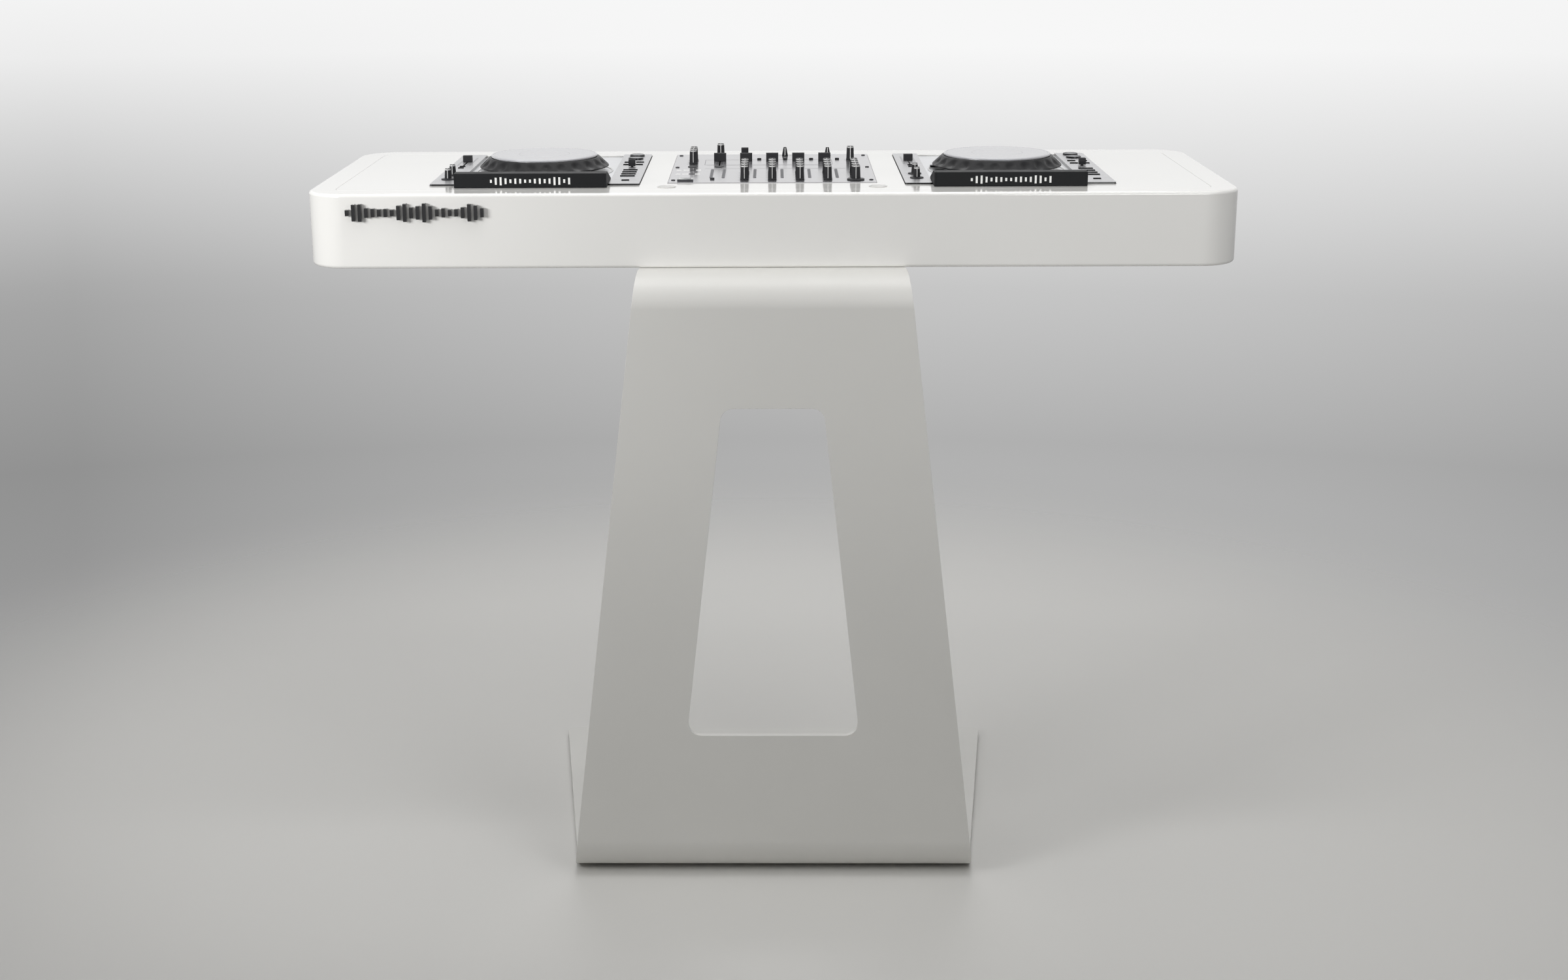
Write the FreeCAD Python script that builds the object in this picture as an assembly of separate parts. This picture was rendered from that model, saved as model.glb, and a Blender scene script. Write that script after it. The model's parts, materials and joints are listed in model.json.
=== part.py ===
import FreeCAD
import Part
import math
import os

from FreeCAD import Vector

# A DJ booth: a thick slab with two media players and a mixer let into its top,
# on one tapered steel sheet bent into a foot plate, an upright panel and a flange.
# Millimetres and degrees. +X is to the right seen from the audience,
# +Y points to the performer, +Z is up.
# The origin is on the floor, under the middle of the booth's overall box.

# Slab
table_height = 1085.0
slab_width = 1400.0
slab_thickness = 112.0
slab_far_margin = 63.0
slab_corner_radius = 60.0
slab_edge_radius = 5.0
slab_floor_thickness = 22.0
rim_width = 40.0
ledge_width = 12.0
inset_corner_radius = 20.0
top_panel_thickness = 18.0
seam_gap = 0.4

# Cable ports in the near strip of the top
port_radius = 14.0
port_spacing = 320.0
port_setback = 70.0
port_cap_rise = 0.8
port_cap_lip = 3.0
port_cap_depth = 6.0

# Raised bars on the front face
bar_count = 22
bar_width = 5.2
bar_pitch = 9.6
bar_tallest = 30.0
bar_depth = 8.0
bars_end_margin = 168.0
bars_drop = 27.0
bar_least_share = 0.3
bar_turn = 52.0
bar_slow_turn = 17.0

# Pedestal sheet
sheet_thickness = 8.0
flange_lead = 6.0
foot_half_width = 318.5
taper_share = 0.119
foot_bend_radius = 60.0
flange_bend_radius = 52.0
foot_length = 604.0
flange_length = 460.0
foot_corner_radius = 16.0
window_sill_height = 244.0
window_height = 526.0
window_foot_half_width = 134.8
window_head_half_width = 76.6
window_corner_radius = 20.0

# Glides under the foot plate
glide_radius = 20.0
glide_height = 3.0
glide_inset = 45.0

# Bolts from the flange up into the slab's floor
bolt_radius = 4.0
bolt_hole_clearance = 0.3
bolt_head_radius = 8.0
bolt_head_height = 5.0
bolt_grip = 14.0
bolt_spread = 220.0
bolt_first_setback = 150.0
bolt_pitch = 125.0
bolt_rows = 3

# Clearances shared by all moving fits
running_clearance = 0.05
seat_gap = 0.3
slot_clearance = 0.4
cut_overrun = 5.0

# Machines in general
gear_gap = 0.8
case_wall = 3.0
case_inset = 2.0
board_thickness = 1.6
board_margin = 18.0
board_post_height = 8.0
board_post_radius = 5.0

# Media players
machine_gap = 43.0
player_width = 320.0
player_depth = 370.0
player_setback = 90.0
deck_thickness = 4.0
deck_drop = 2.0
wing_rise = 2.5
left_wing_width = 41.0
right_wing_width = 47.0
wing_corner_radius = 3.0

# Display hood of a player
hood_overhang = 28.0
hood_height = 22.0
hood_top_length = 23.0
hood_reach = 60.0
hood_lip_height = 4.0
hood_step = 1.5
hood_side_gap = 0.5
screen_side_margin = 17.5
screen_margin = 8.0
screen_thickness = 1.2

# Jog wheel of a player, heights above the deck
jog_hood_gap = 23.0
jog_lip_radius = 103.0
jog_lip_height = 10.0
jog_lip_edge = 1.5
jog_neck_radius = 90.0
jog_neck_height = 5.0
jog_wall = 4.0
jog_top_radius = 88.0
jog_height = 24.0
jog_web = 6.0
jog_hub_radius = 20.0
spindle_radius = 12.0
disc_radius = 85.0
disc_thickness = 4.0
disc_bevel = 1.2

# Speed knobs on a player's left wing
speed_knob_first_share = 0.149
speed_knob_pitch_share = 0.135
speed_knob_radius = 5.4
speed_knob_top_radius = 4.6
speed_knob_height = 17.0
speed_knob_skirt_radius = 10.5
speed_knob_skirt = 1.2

# Tempo fader on a player's left wing
tempo_share = 0.746
tempo_travel = 50.0
tempo_cap_width = 15.0
tempo_cap_length = 10.0
tempo_cap_height = 10.5

# Play and cue buttons on a player's right wing
button_radius = 12.4
button_gap = 0.3
button_rise = 3.0
button_sink = 2.4
button_bevel = 0.8
cue_share = 0.822
play_share = 0.93

# Direction lever on a player's right wing
lever_share = 0.549
lever_width = 11.0
lever_length = 10.0
lever_height = 12.0
lever_lift = 1.4
lever_stem_width = 4.0
lever_stem_length = 4.0
lever_stem_depth = 3.5
lever_slot_room = 1.3
lever_pivot_depth = 2.0

# Small keys of a player
key_height = 1.2
key_length = 6.0
bar_key_width = 23.0
bar_key_first_share = 0.237
bar_key_pitch_share = 0.067
bar_key_rows = 4
search_key_width = 13.0
search_key_spread = 19.0
search_key_first_share = 0.62
search_key_pitch_share = 0.084
search_key_rows = 2
mode_key_width = 9.0
mode_key_gap = 5.0
mode_key_pitch = 19.0
mode_key_rows = 2
eject_key_share = 0.103
eject_key_width = 12.0

# Mixer
mixer_width = 320.0
mixer_depth = 356.0
mixer_setback = 111.0
plate_thickness = 3.0
plate_rise = 1.0
column_margin = 31.0
channel_count = 4
stem_radius = 3.0
stem_depth = 9.0

# Screws of the mixer's plate
screw_radius = 1.5
screw_hole_clearance = 0.2
screw_head_radius = 3.2
screw_head_height = 1.2
screw_grip = 10.0
screw_margin = 7.0
screw_near_margin = 26.0
screw_far_margin = 19.0
screw_rows = 3
screw_post_radius = 5.0

# Rotary knobs of the mixer
knob_first_share = 0.076
knob_pitch_share = 0.08
knob_radius = 6.3
knob_top_radius = 5.7
knob_height = 23.0
knob_skirt_radius = 6.8
knob_skirt = 2.0
knob_bevel = 0.6
pointer_width = 1.2
pointer_proud = 0.4
phones_knob_radius = 7.3
phones_knob_top_radius = 6.6
phones_knob_skirt_radius = 13.5
phones_knob_skirt = 1.6
effects_knob_first_share = 0.639
effects_knob_pitch_share = 0.064
effects_knob_count = 3

# Faders of the mixer
fader_share = 0.739
fader_travel = 60.0
fader_cap_width = 20.0
fader_cap_length = 11.0
fader_cap_height = 13.5
fader_cap_top_share = 0.8
blade_width = 1.6
blade_length = 5.0
blade_depth = 7.0
cross_share = 0.949
cross_travel = 22.5
cross_cap_width = 10.0
cross_cap_top_width = 5.0
cross_cap_length = 17.0
cross_cap_height = 13.5

# Display and level meters of the mixer
display_width = 25.0
display_depth = 20.0
display_height = 3.0
display_side_margin = 13.5
display_setback = 14.0
meter_width = 5.0
meter_length = 100.0
meter_height = 0.8
meter_share = 0.154
meter_offset = 15.5
master_meter_offset = 9.5

# Small keys and fixed knobs of the mixer
cue_key_radius = 3.5
cue_key_height = 2.5
cue_key_share = 0.795
link_key_share = 0.104
link_key_shift = 7.0
pad_key_radius = 7.5
pad_key_share = 0.531
pad_key_height = 1.0
far_knob_share = 0.888
far_phones_share = 0.77

# Two caps at the mixer's far edge
cone_cap_x_share = 0.29
cone_cap_share = 0.941
cone_cap_radius = 5.5
cone_cap_top_radius = 2.8
cone_cap_height = 14.0
flat_cap_x_share = -0.144
flat_cap_share = 0.963
flat_cap_width = 12.0
flat_cap_length = 9.0
flat_cap_height = 13.0

# Places worked out from the sizes above
full_turn = 360.0
gear_reach = max(player_setback + player_depth, mixer_setback + mixer_depth)
slab_depth = gear_reach + slab_far_margin
panel_lead = flange_bend_radius + flange_lead
front_reach = max(bar_depth, panel_lead)
overall_depth = front_reach + max(slab_depth, foot_length - panel_lead)
front_y = front_reach - overall_depth / 2
slab_underside = table_height - slab_thickness
slab_floor_top = slab_underside + slab_floor_thickness
panel_y = front_y - panel_lead
foot_start_y = panel_y + foot_bend_radius
bars_middle_x = bars_end_margin - slab_width / 2
foot_end_y = panel_y + foot_length
flange_start_y = panel_y + flange_bend_radius
flange_end_y = panel_y + flange_length
foot_top = glide_height + sheet_thickness
flange_underside = slab_underside - sheet_thickness
panel_height = slab_underside - glide_height
bend_half_width = foot_half_width - taper_share * (panel_height - flange_bend_radius)
head_half_width = bend_half_width - taper_share * flange_bend_radius * math.pi / 2
foot_end_half_width = foot_half_width + taper_share * (foot_end_y - foot_start_y)
flange_end_half_width = head_half_width - taper_share * (flange_end_y - flange_start_y)

deck_top = table_height - deck_drop
wing_top = table_height + wing_rise
wing_thickness = deck_drop + wing_rise
player_y = front_y + player_setback
player_case_top = deck_top - deck_thickness
left_wing_shift = (left_wing_width - player_width) / 2
right_wing_shift = (player_width - right_wing_width) / 2
jog_shift = (left_wing_width - right_wing_width) / 2
wing_stem_depth = wing_thickness - slot_clearance
player_shift = (mixer_width + player_width) / 2 + machine_gap
player_middles = {"left": -player_shift, "right": player_shift}

mixer_y = front_y + mixer_setback
plate_top = table_height + plate_rise
plate_underside = plate_top - plate_thickness
effects_x = column_margin - mixer_width / 2
phones_x = -effects_x
column_pitch = (phones_x - effects_x) / (channel_count + 2)
master_x = effects_x + column_pitch
channel_xs = [phones_x - column_pitch * (i + 1) for i in range(channel_count)]
cross_x = (channel_xs[0] + channel_xs[-1]) / 2
knob_ys = [
    mixer_y + mixer_depth * (knob_first_share + knob_pitch_share * row)
    for row in range(channel_count)
]
knob_names = ["trim", "high", "mid", "low"]
effects_ys = [
    mixer_y + mixer_depth * (effects_knob_first_share + effects_knob_pitch_share * i)
    for i in range(effects_knob_count)
]
screw_xs = [screw_margin - mixer_width / 2, mixer_width / 2 - screw_margin]
screw_pitch = (mixer_depth - screw_near_margin - screw_far_margin) / (screw_rows - 1)
screw_ys = [mixer_y + screw_near_margin + screw_pitch * row for row in range(screw_rows)]
screw_places = [(x, y) for x in screw_xs for y in screw_ys]
bolt_ys = [panel_y + bolt_first_setback + bolt_pitch * row for row in range(bolt_rows)]
bolt_places = [(side * bolt_spread / 2, y) for side in (-1, 1) for y in bolt_ys]
port_places = [(side * port_spacing / 2, front_y + port_setback) for side in (-1, 1)]


# Basic solids

def block(x0, x1, y0, y1, z0, z1):
    return Part.makeBox(x1 - x0, y1 - y0, z1 - z0, Vector(x0, y0, z0))


def block_about(x, y, width, length, z0, z1):
    return block(x - width / 2, x + width / 2, y - length / 2, y + length / 2, z0, z1)


def post(x, y, radius, z0, z1):
    return Part.makeCylinder(radius, z1 - z0, Vector(x, y, z0))


def flat(points):
    return Part.Face(Part.makePolygon(points + points[:1]))


def prism_along_x(outline, x0, x1):
    face = flat([Vector(x0, y, z) for y, z in outline])
    return face.extrude(Vector(x1 - x0, 0, 0))


def prism_along_y(outline, y0, y1):
    face = flat([Vector(x, y0, z) for x, z in outline])
    return face.extrude(Vector(0, y1 - y0, 0))


def prism_along_z(outline, z0, z1):
    face = flat([Vector(x, y, z0) for x, y in outline])
    return face.extrude(Vector(0, 0, z1 - z0))


def turned(outline, x, y, z):
    face = flat([Vector(x + r, y, z + h) for r, h in outline])
    return face.revolve(Vector(x, y, z), Vector(0, 0, 1), full_turn)


def edges_along(solid, axis):
    along = []
    for edge in solid.Edges:
        run = edge.lastVertex().Point - edge.firstVertex().Point
        if run.Length > 0 and run.cross(axis).Length < running_clearance:
            along.append(edge)
    return along


def edges_at_height(solid, z):
    return [e for e in solid.Edges if all(abs(v.Z - z) < running_clearance for v in e.Vertexes)]


def rounded_block(x0, x1, y0, y1, z0, z1, radius):
    solid = block(x0, x1, y0, y1, z0, z1)
    return solid.makeFillet(radius, edges_along(solid, Vector(0, 0, 1)))


def fused(pieces):
    return pieces[0].multiFuse(pieces[1:]).removeSplitter()


def cut(solid, tools):
    return solid.cut(tools).removeSplitter()


# Stand

def make_bent_panel():
    width = 2 * foot_half_width
    outer_foot = foot_bend_radius
    inner_foot = foot_bend_radius - sheet_thickness
    outer_head = flange_bend_radius
    inner_head = flange_bend_radius - sheet_thickness
    diagonal_share = math.sqrt(1 / 2)
    panel_back = panel_y + sheet_thickness
    foot_centre = glide_height + foot_bend_radius
    head_centre = slab_underside - flange_bend_radius

    def at(y, z):
        return Vector(-width / 2, y, z)

    def bend(start, centre_y, centre_z, radius, toward, end):
        reach = radius * diagonal_share
        middle = at(centre_y - reach, centre_z + toward * reach)
        return Part.Arc(start, middle, end).toShape()

    def line(start, end):
        return Part.LineSegment(start, end).toShape()

    foot_outer_end = at(foot_start_y, glide_height)
    foot_outer_top = at(panel_y, foot_centre)
    head_outer_foot = at(panel_y, head_centre)
    head_outer_end = at(flange_start_y, slab_underside)
    head_inner_end = at(flange_start_y, flange_underside)
    head_inner_foot = at(panel_back, head_centre)
    foot_inner_top = at(panel_back, foot_centre)
    foot_inner_end = at(foot_start_y, foot_top)
    profile = [
        bend(foot_outer_end, foot_start_y, foot_centre, outer_foot, -1, foot_outer_top),
        line(foot_outer_top, head_outer_foot),
        bend(head_outer_foot, flange_start_y, head_centre, outer_head, 1, head_outer_end),
        line(head_outer_end, head_inner_end),
        bend(head_inner_end, flange_start_y, head_centre, inner_head, 1, head_inner_foot),
        line(head_inner_foot, foot_inner_top),
        bend(foot_inner_top, foot_start_y, foot_centre, inner_foot, -1, foot_inner_end),
        line(foot_inner_end, foot_outer_end),
    ]
    sheet = Part.Face(Part.Wire(profile)).extrude(Vector(width, 0, 0))
    top_half_width = foot_half_width - taper_share * panel_height
    outline = [
        (-foot_half_width, glide_height),
        (foot_half_width, glide_height),
        (top_half_width, slab_underside),
        (-top_half_width, slab_underside),
    ]
    depth = max(foot_bend_radius, flange_bend_radius)
    tapered = sheet.common(prism_along_y(outline, panel_y, panel_y + depth))

    # The upper bend's sides draw in to the flange, as they do when a tapered sheet is bent
    def trim(side):
        corners = [
            (side * bend_half_width, panel_back),
            (side * head_half_width, flange_start_y),
            (side * foot_half_width, flange_start_y),
            (side * foot_half_width, panel_back),
        ]
        return prism_along_z(corners, head_centre, slab_underside)

    return cut(tapered, [trim(-1), trim(1)])


def make_sheet_run(start_y, end_y, start_half_width, end_half_width, z0):
    outline = [
        (-start_half_width, start_y),
        (start_half_width, start_y),
        (end_half_width, end_y),
        (-end_half_width, end_y),
    ]
    run = prism_along_z(outline, z0, z0 + sheet_thickness)
    uprights = edges_along(run, Vector(0, 0, 1))
    rear = [e for e in uprights if abs(e.firstVertex().Y - end_y) < running_clearance]
    return run.makeFillet(foot_corner_radius, rear)


def make_window():
    head = window_sill_height + window_height
    outline = [
        (-window_foot_half_width, window_sill_height),
        (window_foot_half_width, window_sill_height),
        (window_head_half_width, head),
        (-window_head_half_width, head),
    ]
    window = prism_along_y(outline, panel_y - cut_overrun, panel_y + sheet_thickness + cut_overrun)
    return window.makeFillet(window_corner_radius, edges_along(window, Vector(0, 1, 0)))


def make_pedestal():
    panel = make_bent_panel()
    foot = make_sheet_run(foot_start_y, foot_end_y, foot_half_width, foot_end_half_width, glide_height)
    flange = make_sheet_run(
        flange_start_y, flange_end_y, head_half_width, flange_end_half_width, flange_underside)
    sheet = fused([panel, foot, flange])
    hole_radius = bolt_radius + bolt_hole_clearance
    holes = [
        post(x, y, hole_radius, flange_underside - cut_overrun, slab_underside + cut_overrun)
        for x, y in bolt_places
    ]
    return cut(sheet, [make_window()] + holes)


def make_glides():
    front = (foot_half_width - glide_inset, foot_start_y + glide_inset)
    rear = (foot_end_half_width - glide_inset, foot_end_y - glide_inset)
    places = [(side * x, y) for x, y in (front, rear) for side in (-1, 1)]
    return Part.makeCompound([post(x, y, glide_radius, 0, glide_height) for x, y in places])


def make_bolts():
    bolts = []
    for x, y in bolt_places:
        head = post(x, y, bolt_head_radius, flange_underside - bolt_head_height, flange_underside)
        shank = post(x, y, bolt_radius, flange_underside, slab_underside + bolt_grip)
        bolts.append(fused([head, shank]))
    return Part.makeCompound(bolts)


# Slab

def slab_inset(inset, z0, z1, radius):
    half = slab_width / 2 - inset
    return rounded_block(-half, half, front_y + inset, front_y + slab_depth - inset, z0, z1, radius)


def make_slab_body():
    body = slab_inset(0, slab_underside, table_height, slab_corner_radius)
    rims = edges_at_height(body, table_height) + edges_at_height(body, slab_underside)
    body = body.makeFillet(slab_edge_radius, rims)
    seat = table_height - top_panel_thickness
    recess = slab_inset(rim_width, seat, table_height + cut_overrun, inset_corner_radius)
    cavity = slab_inset(rim_width + ledge_width, slab_floor_top, seat + cut_overrun, inset_corner_radius)
    hole_radius = bolt_radius + bolt_hole_clearance
    hole_top = slab_underside + bolt_grip + bolt_hole_clearance
    holes = [post(x, y, hole_radius, slab_underside - cut_overrun, hole_top) for x, y in bolt_places]
    return cut(body, [recess, cavity] + holes)


def gear_opening(x, y, width, depth):
    z0 = table_height - top_panel_thickness - cut_overrun
    z1 = table_height + cut_overrun
    half = width / 2 + gear_gap
    return block(x - half, x + half, y - gear_gap, y + depth + gear_gap, z0, z1)


def make_top_panel():
    seat = table_height - top_panel_thickness
    panel = slab_inset(rim_width + seam_gap, seat, table_height, inset_corner_radius)
    openings = [gear_opening(x, player_y, player_width, player_depth) for x in player_middles.values()]
    openings.append(gear_opening(0, mixer_y, mixer_width, mixer_depth))
    ports = [
        post(x, y, port_radius - port_cap_lip, seat - cut_overrun, table_height + cut_overrun)
        for x, y in port_places
    ]
    return cut(panel, openings + ports)


def make_port_caps():
    caps = []
    spigot_radius = port_radius - port_cap_lip - seat_gap
    for x, y in port_places:
        lid = post(x, y, port_radius, table_height, table_height + port_cap_rise)
        spigot = post(x, y, spigot_radius, table_height - port_cap_depth, table_height)
        caps.append(fused([lid, spigot]))
    return Part.makeCompound(caps)


def make_front_bars():
    bars = []
    first_x = bars_middle_x - bar_pitch * (bar_count - 1) / 2
    middle_z = table_height - bars_drop
    for i in range(bar_count):
        swing = abs(math.sin(math.radians(bar_turn * i)) * math.cos(math.radians(bar_slow_turn * i)))
        height = bar_tallest * (bar_least_share + (1 - bar_least_share) * swing)
        x = first_x + bar_pitch * i
        half = bar_width / 2
        low = middle_z - height / 2
        bars.append(block(x - half, x + half, front_y - bar_depth, front_y, low, low + height))
    return Part.makeCompound(bars)


# Cases of the machines

def make_case(x, y, width, depth, top, extra_posts):
    x0 = x - width / 2 + case_inset
    x1 = x + width / 2 - case_inset
    y0 = y + case_inset
    y1 = y + depth - case_inset
    floor = slab_floor_top + case_wall
    shell = block(x0, x1, y0, y1, slab_floor_top, top)
    hollow = block(x0 + case_wall, x1 - case_wall, y0 + case_wall, y1 - case_wall, floor, top + cut_overrun)
    posts = [
        post(px, py, board_post_radius, slab_floor_top, floor + board_post_height)
        for px, py in board_post_places(x, y, width, depth)
    ]
    return fused([shell.cut(hollow)] + posts + extra_posts)


def board_post_places(x, y, width, depth):
    inset = case_inset + case_wall + board_margin + board_post_radius
    xs = (x - width / 2 + inset, x + width / 2 - inset)
    ys = (y + inset, y + depth - inset)
    return [(px, py) for px in xs for py in ys]


def make_board(x, y, width, depth):
    inset = case_inset + case_wall + board_margin
    low = slab_floor_top + case_wall + board_post_height
    x0 = x - width / 2 + inset
    x1 = x + width / 2 - inset
    return block(x0, x1, y + inset, y + depth - inset, low, low + board_thickness)


# Controls

def make_knob(x, y, top, radius, top_radius, height, skirt_radius, skirt, shaft_depth):
    low = seat_gap
    outline = [
        (0, -shaft_depth),
        (stem_radius, -shaft_depth),
        (stem_radius, low),
        (skirt_radius, low),
        (skirt_radius, low + skirt),
        (radius, low + skirt),
        (top_radius, height - knob_bevel),
        (top_radius - knob_bevel, height),
        (0, height),
    ]
    body = turned(outline, x, y, top)
    half = pointer_width / 2
    reach = radius + pointer_proud
    pointer = block(x - half, x + half, y - reach, y, top + low + skirt, top + height)
    return fused([body, pointer])


def knob_hole(x, y, z0, z1):
    return post(x, y, stem_radius + running_clearance, z0 - cut_overrun, z1 + cut_overrun)


def make_mixer_knob(x, y):
    return make_knob(
        x, y, plate_top, knob_radius, knob_top_radius, knob_height, knob_skirt_radius, knob_skirt, stem_depth)


def make_phones_knob(x, y):
    return make_knob(
        x, y, plate_top, phones_knob_radius, phones_knob_top_radius, knob_height,
        phones_knob_skirt_radius, phones_knob_skirt, stem_depth)


def make_speed_knob(x, y):
    return make_knob(
        x, y, wing_top, speed_knob_radius, speed_knob_top_radius, speed_knob_height,
        speed_knob_skirt_radius, speed_knob_skirt, wing_stem_depth)


def make_blade(x, y, width, length, z0, z1):
    return block_about(x, y, width, length, z0, z1)


def make_fader(x, y, top, width, length, height, depth):
    low = top + seat_gap
    half = length / 2
    crown = half * fader_cap_top_share
    outline = [(y - half, low), (y + half, low), (y + crown, top + height), (y - crown, top + height)]
    cap = prism_along_x(outline, x - width / 2, x + width / 2)
    return fused([cap, make_blade(x, y, blade_width, blade_length, top - depth, low)])


def fader_slot(x, y0, y1, z0, z1):
    reach = blade_length / 2 + slot_clearance
    half = blade_width / 2 + slot_clearance
    return block(x - half, x + half, y0 - reach, y1 + reach, z0 - cut_overrun, z1 + cut_overrun)


def make_crossfader():
    low = plate_top + seat_gap
    high = plate_top + cross_cap_height
    half = cross_cap_width / 2
    crown = cross_cap_top_width / 2
    y = mixer_y + mixer_depth * cross_share
    outline = [(cross_x - half, low), (cross_x + half, low), (cross_x + crown, high), (cross_x - crown, high)]
    cap = prism_along_y(outline, y - cross_cap_length / 2, y + cross_cap_length / 2)
    return fused([cap, make_blade(cross_x, y, blade_length, blade_width, plate_top - blade_depth, low)])


def cross_slot():
    reach = cross_travel + blade_length / 2 + slot_clearance
    half = blade_width / 2 + slot_clearance
    y = mixer_y + mixer_depth * cross_share
    z0 = plate_underside - cut_overrun
    return block(cross_x - reach, cross_x + reach, y - half, y + half, z0, plate_top + cut_overrun)


def make_button(x, y):
    outline = [
        (0, -button_sink),
        (button_radius, -button_sink),
        (button_radius, button_rise - button_bevel),
        (button_radius - button_bevel, button_rise),
        (0, button_rise),
    ]
    return turned(outline, x, y, wing_top)


def make_lever(x, y):
    low = wing_top + lever_lift
    head = block_about(x, y, lever_width, lever_length, low, wing_top + lever_height)
    stem = block_about(x, y, lever_stem_width, lever_stem_length, wing_top - lever_stem_depth, low)
    return fused([head, stem])


# Media players

def player_places(middle):
    left = middle + left_wing_shift
    right = middle + right_wing_shift
    return {
        "start_knob": (left, player_y + player_depth * speed_knob_first_share),
        "brake_knob": (left, player_y + player_depth * (speed_knob_first_share + speed_knob_pitch_share)),
        "tempo_fader": (left, player_y + player_depth * tempo_share),
        "direction_lever": (right, player_y + player_depth * lever_share),
        "cue_button": (right, player_y + player_depth * cue_share),
        "play_button": (right, player_y + player_depth * play_share),
        "jog": (middle + jog_shift, player_y + hood_reach + jog_hood_gap + jog_lip_radius),
    }


def make_deck(middle):
    half = player_width / 2
    return block(middle - half, middle + half, player_y, player_y + player_depth, player_case_top, deck_top)


def make_wing(x, width, tools):
    half = width / 2
    plate = rounded_block(
        x - half, x + half, player_y, player_y + player_depth, deck_top, wing_top, wing_corner_radius)
    return cut(plate, tools)


def make_left_wing(middle):
    places = player_places(middle)
    tempo_x, tempo_y = places["tempo_fader"]
    tools = [knob_hole(*places[name], deck_top, wing_top) for name in ("start_knob", "brake_knob")]
    tools.append(fader_slot(tempo_x, tempo_y - tempo_travel, tempo_y + tempo_travel, deck_top, wing_top))
    return make_wing(middle + left_wing_shift, left_wing_width, tools)


def make_right_wing(middle):
    places = player_places(middle)
    hole_radius = button_radius + button_gap
    tools = [
        post(*places[name], hole_radius, deck_top - cut_overrun, wing_top + cut_overrun)
        for name in ("cue_button", "play_button")
    ]
    slot_width = lever_stem_width + 2 * slot_clearance
    slot_length = lever_stem_length + 2 * lever_slot_room
    lever_x, lever_y = places["direction_lever"]
    tools.append(block_about(
        lever_x, lever_y, slot_width, slot_length, deck_top - cut_overrun, wing_top + cut_overrun))
    return make_wing(middle + right_wing_shift, right_wing_width, tools)


def hood_slope():
    start = (player_y - hood_overhang + hood_top_length, table_height + hood_height)
    end = (player_y + hood_reach, table_height + hood_lip_height)
    return start, end


def hood_span(middle):
    x0 = middle - player_width / 2 + left_wing_width + hood_side_gap
    x1 = middle + player_width / 2 - right_wing_width - hood_side_gap
    return x0, x1


def make_hood(middle):
    crest, lip = hood_slope()
    near = player_y - hood_overhang
    step = player_y + hood_step
    outline = [
        (near, table_height + seat_gap),
        (step, table_height + seat_gap),
        (step, deck_top),
        (lip[0], deck_top),
        lip,
        crest,
        (near, table_height + hood_height),
    ]
    return prism_along_x(outline, *hood_span(middle))


def make_screen(middle):
    crest, lip = hood_slope()
    run_y = lip[0] - crest[0]
    run_z = lip[1] - crest[1]
    slope = math.hypot(run_y, run_z)
    along = (run_y / slope, run_z / slope)
    out = (-along[1] * screen_thickness, along[0] * screen_thickness)
    near = (crest[0] + along[0] * screen_margin, crest[1] + along[1] * screen_margin)
    far = (lip[0] - along[0] * screen_margin, lip[1] - along[1] * screen_margin)
    outline = [near, far, (far[0] + out[0], far[1] + out[1]), (near[0] + out[0], near[1] + out[1])]
    x0, x1 = hood_span(middle)
    return prism_along_x(outline, x0 + screen_side_margin, x1 - screen_side_margin)


def make_spindle(middle):
    x, y = player_places(middle)["jog"]
    return post(x, y, spindle_radius, deck_top, deck_top + jog_height - jog_web - seat_gap)


def make_jog_ring(x, y):
    bore = spindle_radius + running_clearance
    web = jog_height - jog_web
    inside = jog_neck_radius - jog_wall
    outline = [
        (bore, seat_gap),
        (jog_hub_radius, seat_gap),
        (jog_hub_radius, web),
        (inside, web),
        (inside, jog_neck_height),
        (jog_neck_radius, jog_neck_height),
        (jog_lip_radius, jog_lip_height - jog_lip_edge),
        (jog_lip_radius, jog_lip_height),
        (jog_top_radius, jog_height),
        (0, jog_height),
        (0, web),
        (bore, web),
    ]
    return turned(outline, x, y, deck_top)


def make_jog_disc(x, y):
    outline = [
        (0, 0),
        (disc_radius, 0),
        (disc_radius, disc_thickness - disc_bevel),
        (disc_radius - disc_bevel, disc_thickness),
        (0, disc_thickness),
    ]
    return turned(outline, x, y, deck_top + jog_height)


def make_key(x, y, width):
    return block_about(x, y, width, key_length, wing_top, wing_top + key_height)


def make_player_keys(middle):
    left = middle + left_wing_shift
    right = middle + right_wing_shift
    keys = [make_key(right, player_y + player_depth * eject_key_share, eject_key_width)]
    for row in range(bar_key_rows):
        y = player_y + player_depth * (bar_key_first_share + bar_key_pitch_share * row)
        keys.append(make_key(right, y, bar_key_width))
    for row in range(search_key_rows):
        y = player_y + player_depth * (search_key_first_share + search_key_pitch_share * row)
        for side in (-1, 1):
            keys.append(make_key(right + side * search_key_spread / 2, y, search_key_width))
    tempo_near = player_y + player_depth * tempo_share - tempo_travel - tempo_cap_length / 2
    mode_far = tempo_near - mode_key_gap - key_length / 2
    for row in range(mode_key_rows):
        keys.append(make_key(left, mode_far - mode_key_pitch * row, mode_key_width))
    return keys


# Mixer

def mixer_stem_places():
    places = [(x, y) for x in channel_xs for y in knob_ys]
    return places + [(effects_x, effects_ys[0]), (phones_x, knob_ys[0])]


def fixed_knob_places():
    places = [(effects_x, y) for y in effects_ys[1:]]
    places += [(phones_x, y) for y in knob_ys[1:]]
    places.append((phones_x, mixer_y + mixer_depth * far_phones_share))
    places.append((master_x, mixer_y + mixer_depth * far_knob_share))
    return places


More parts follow.
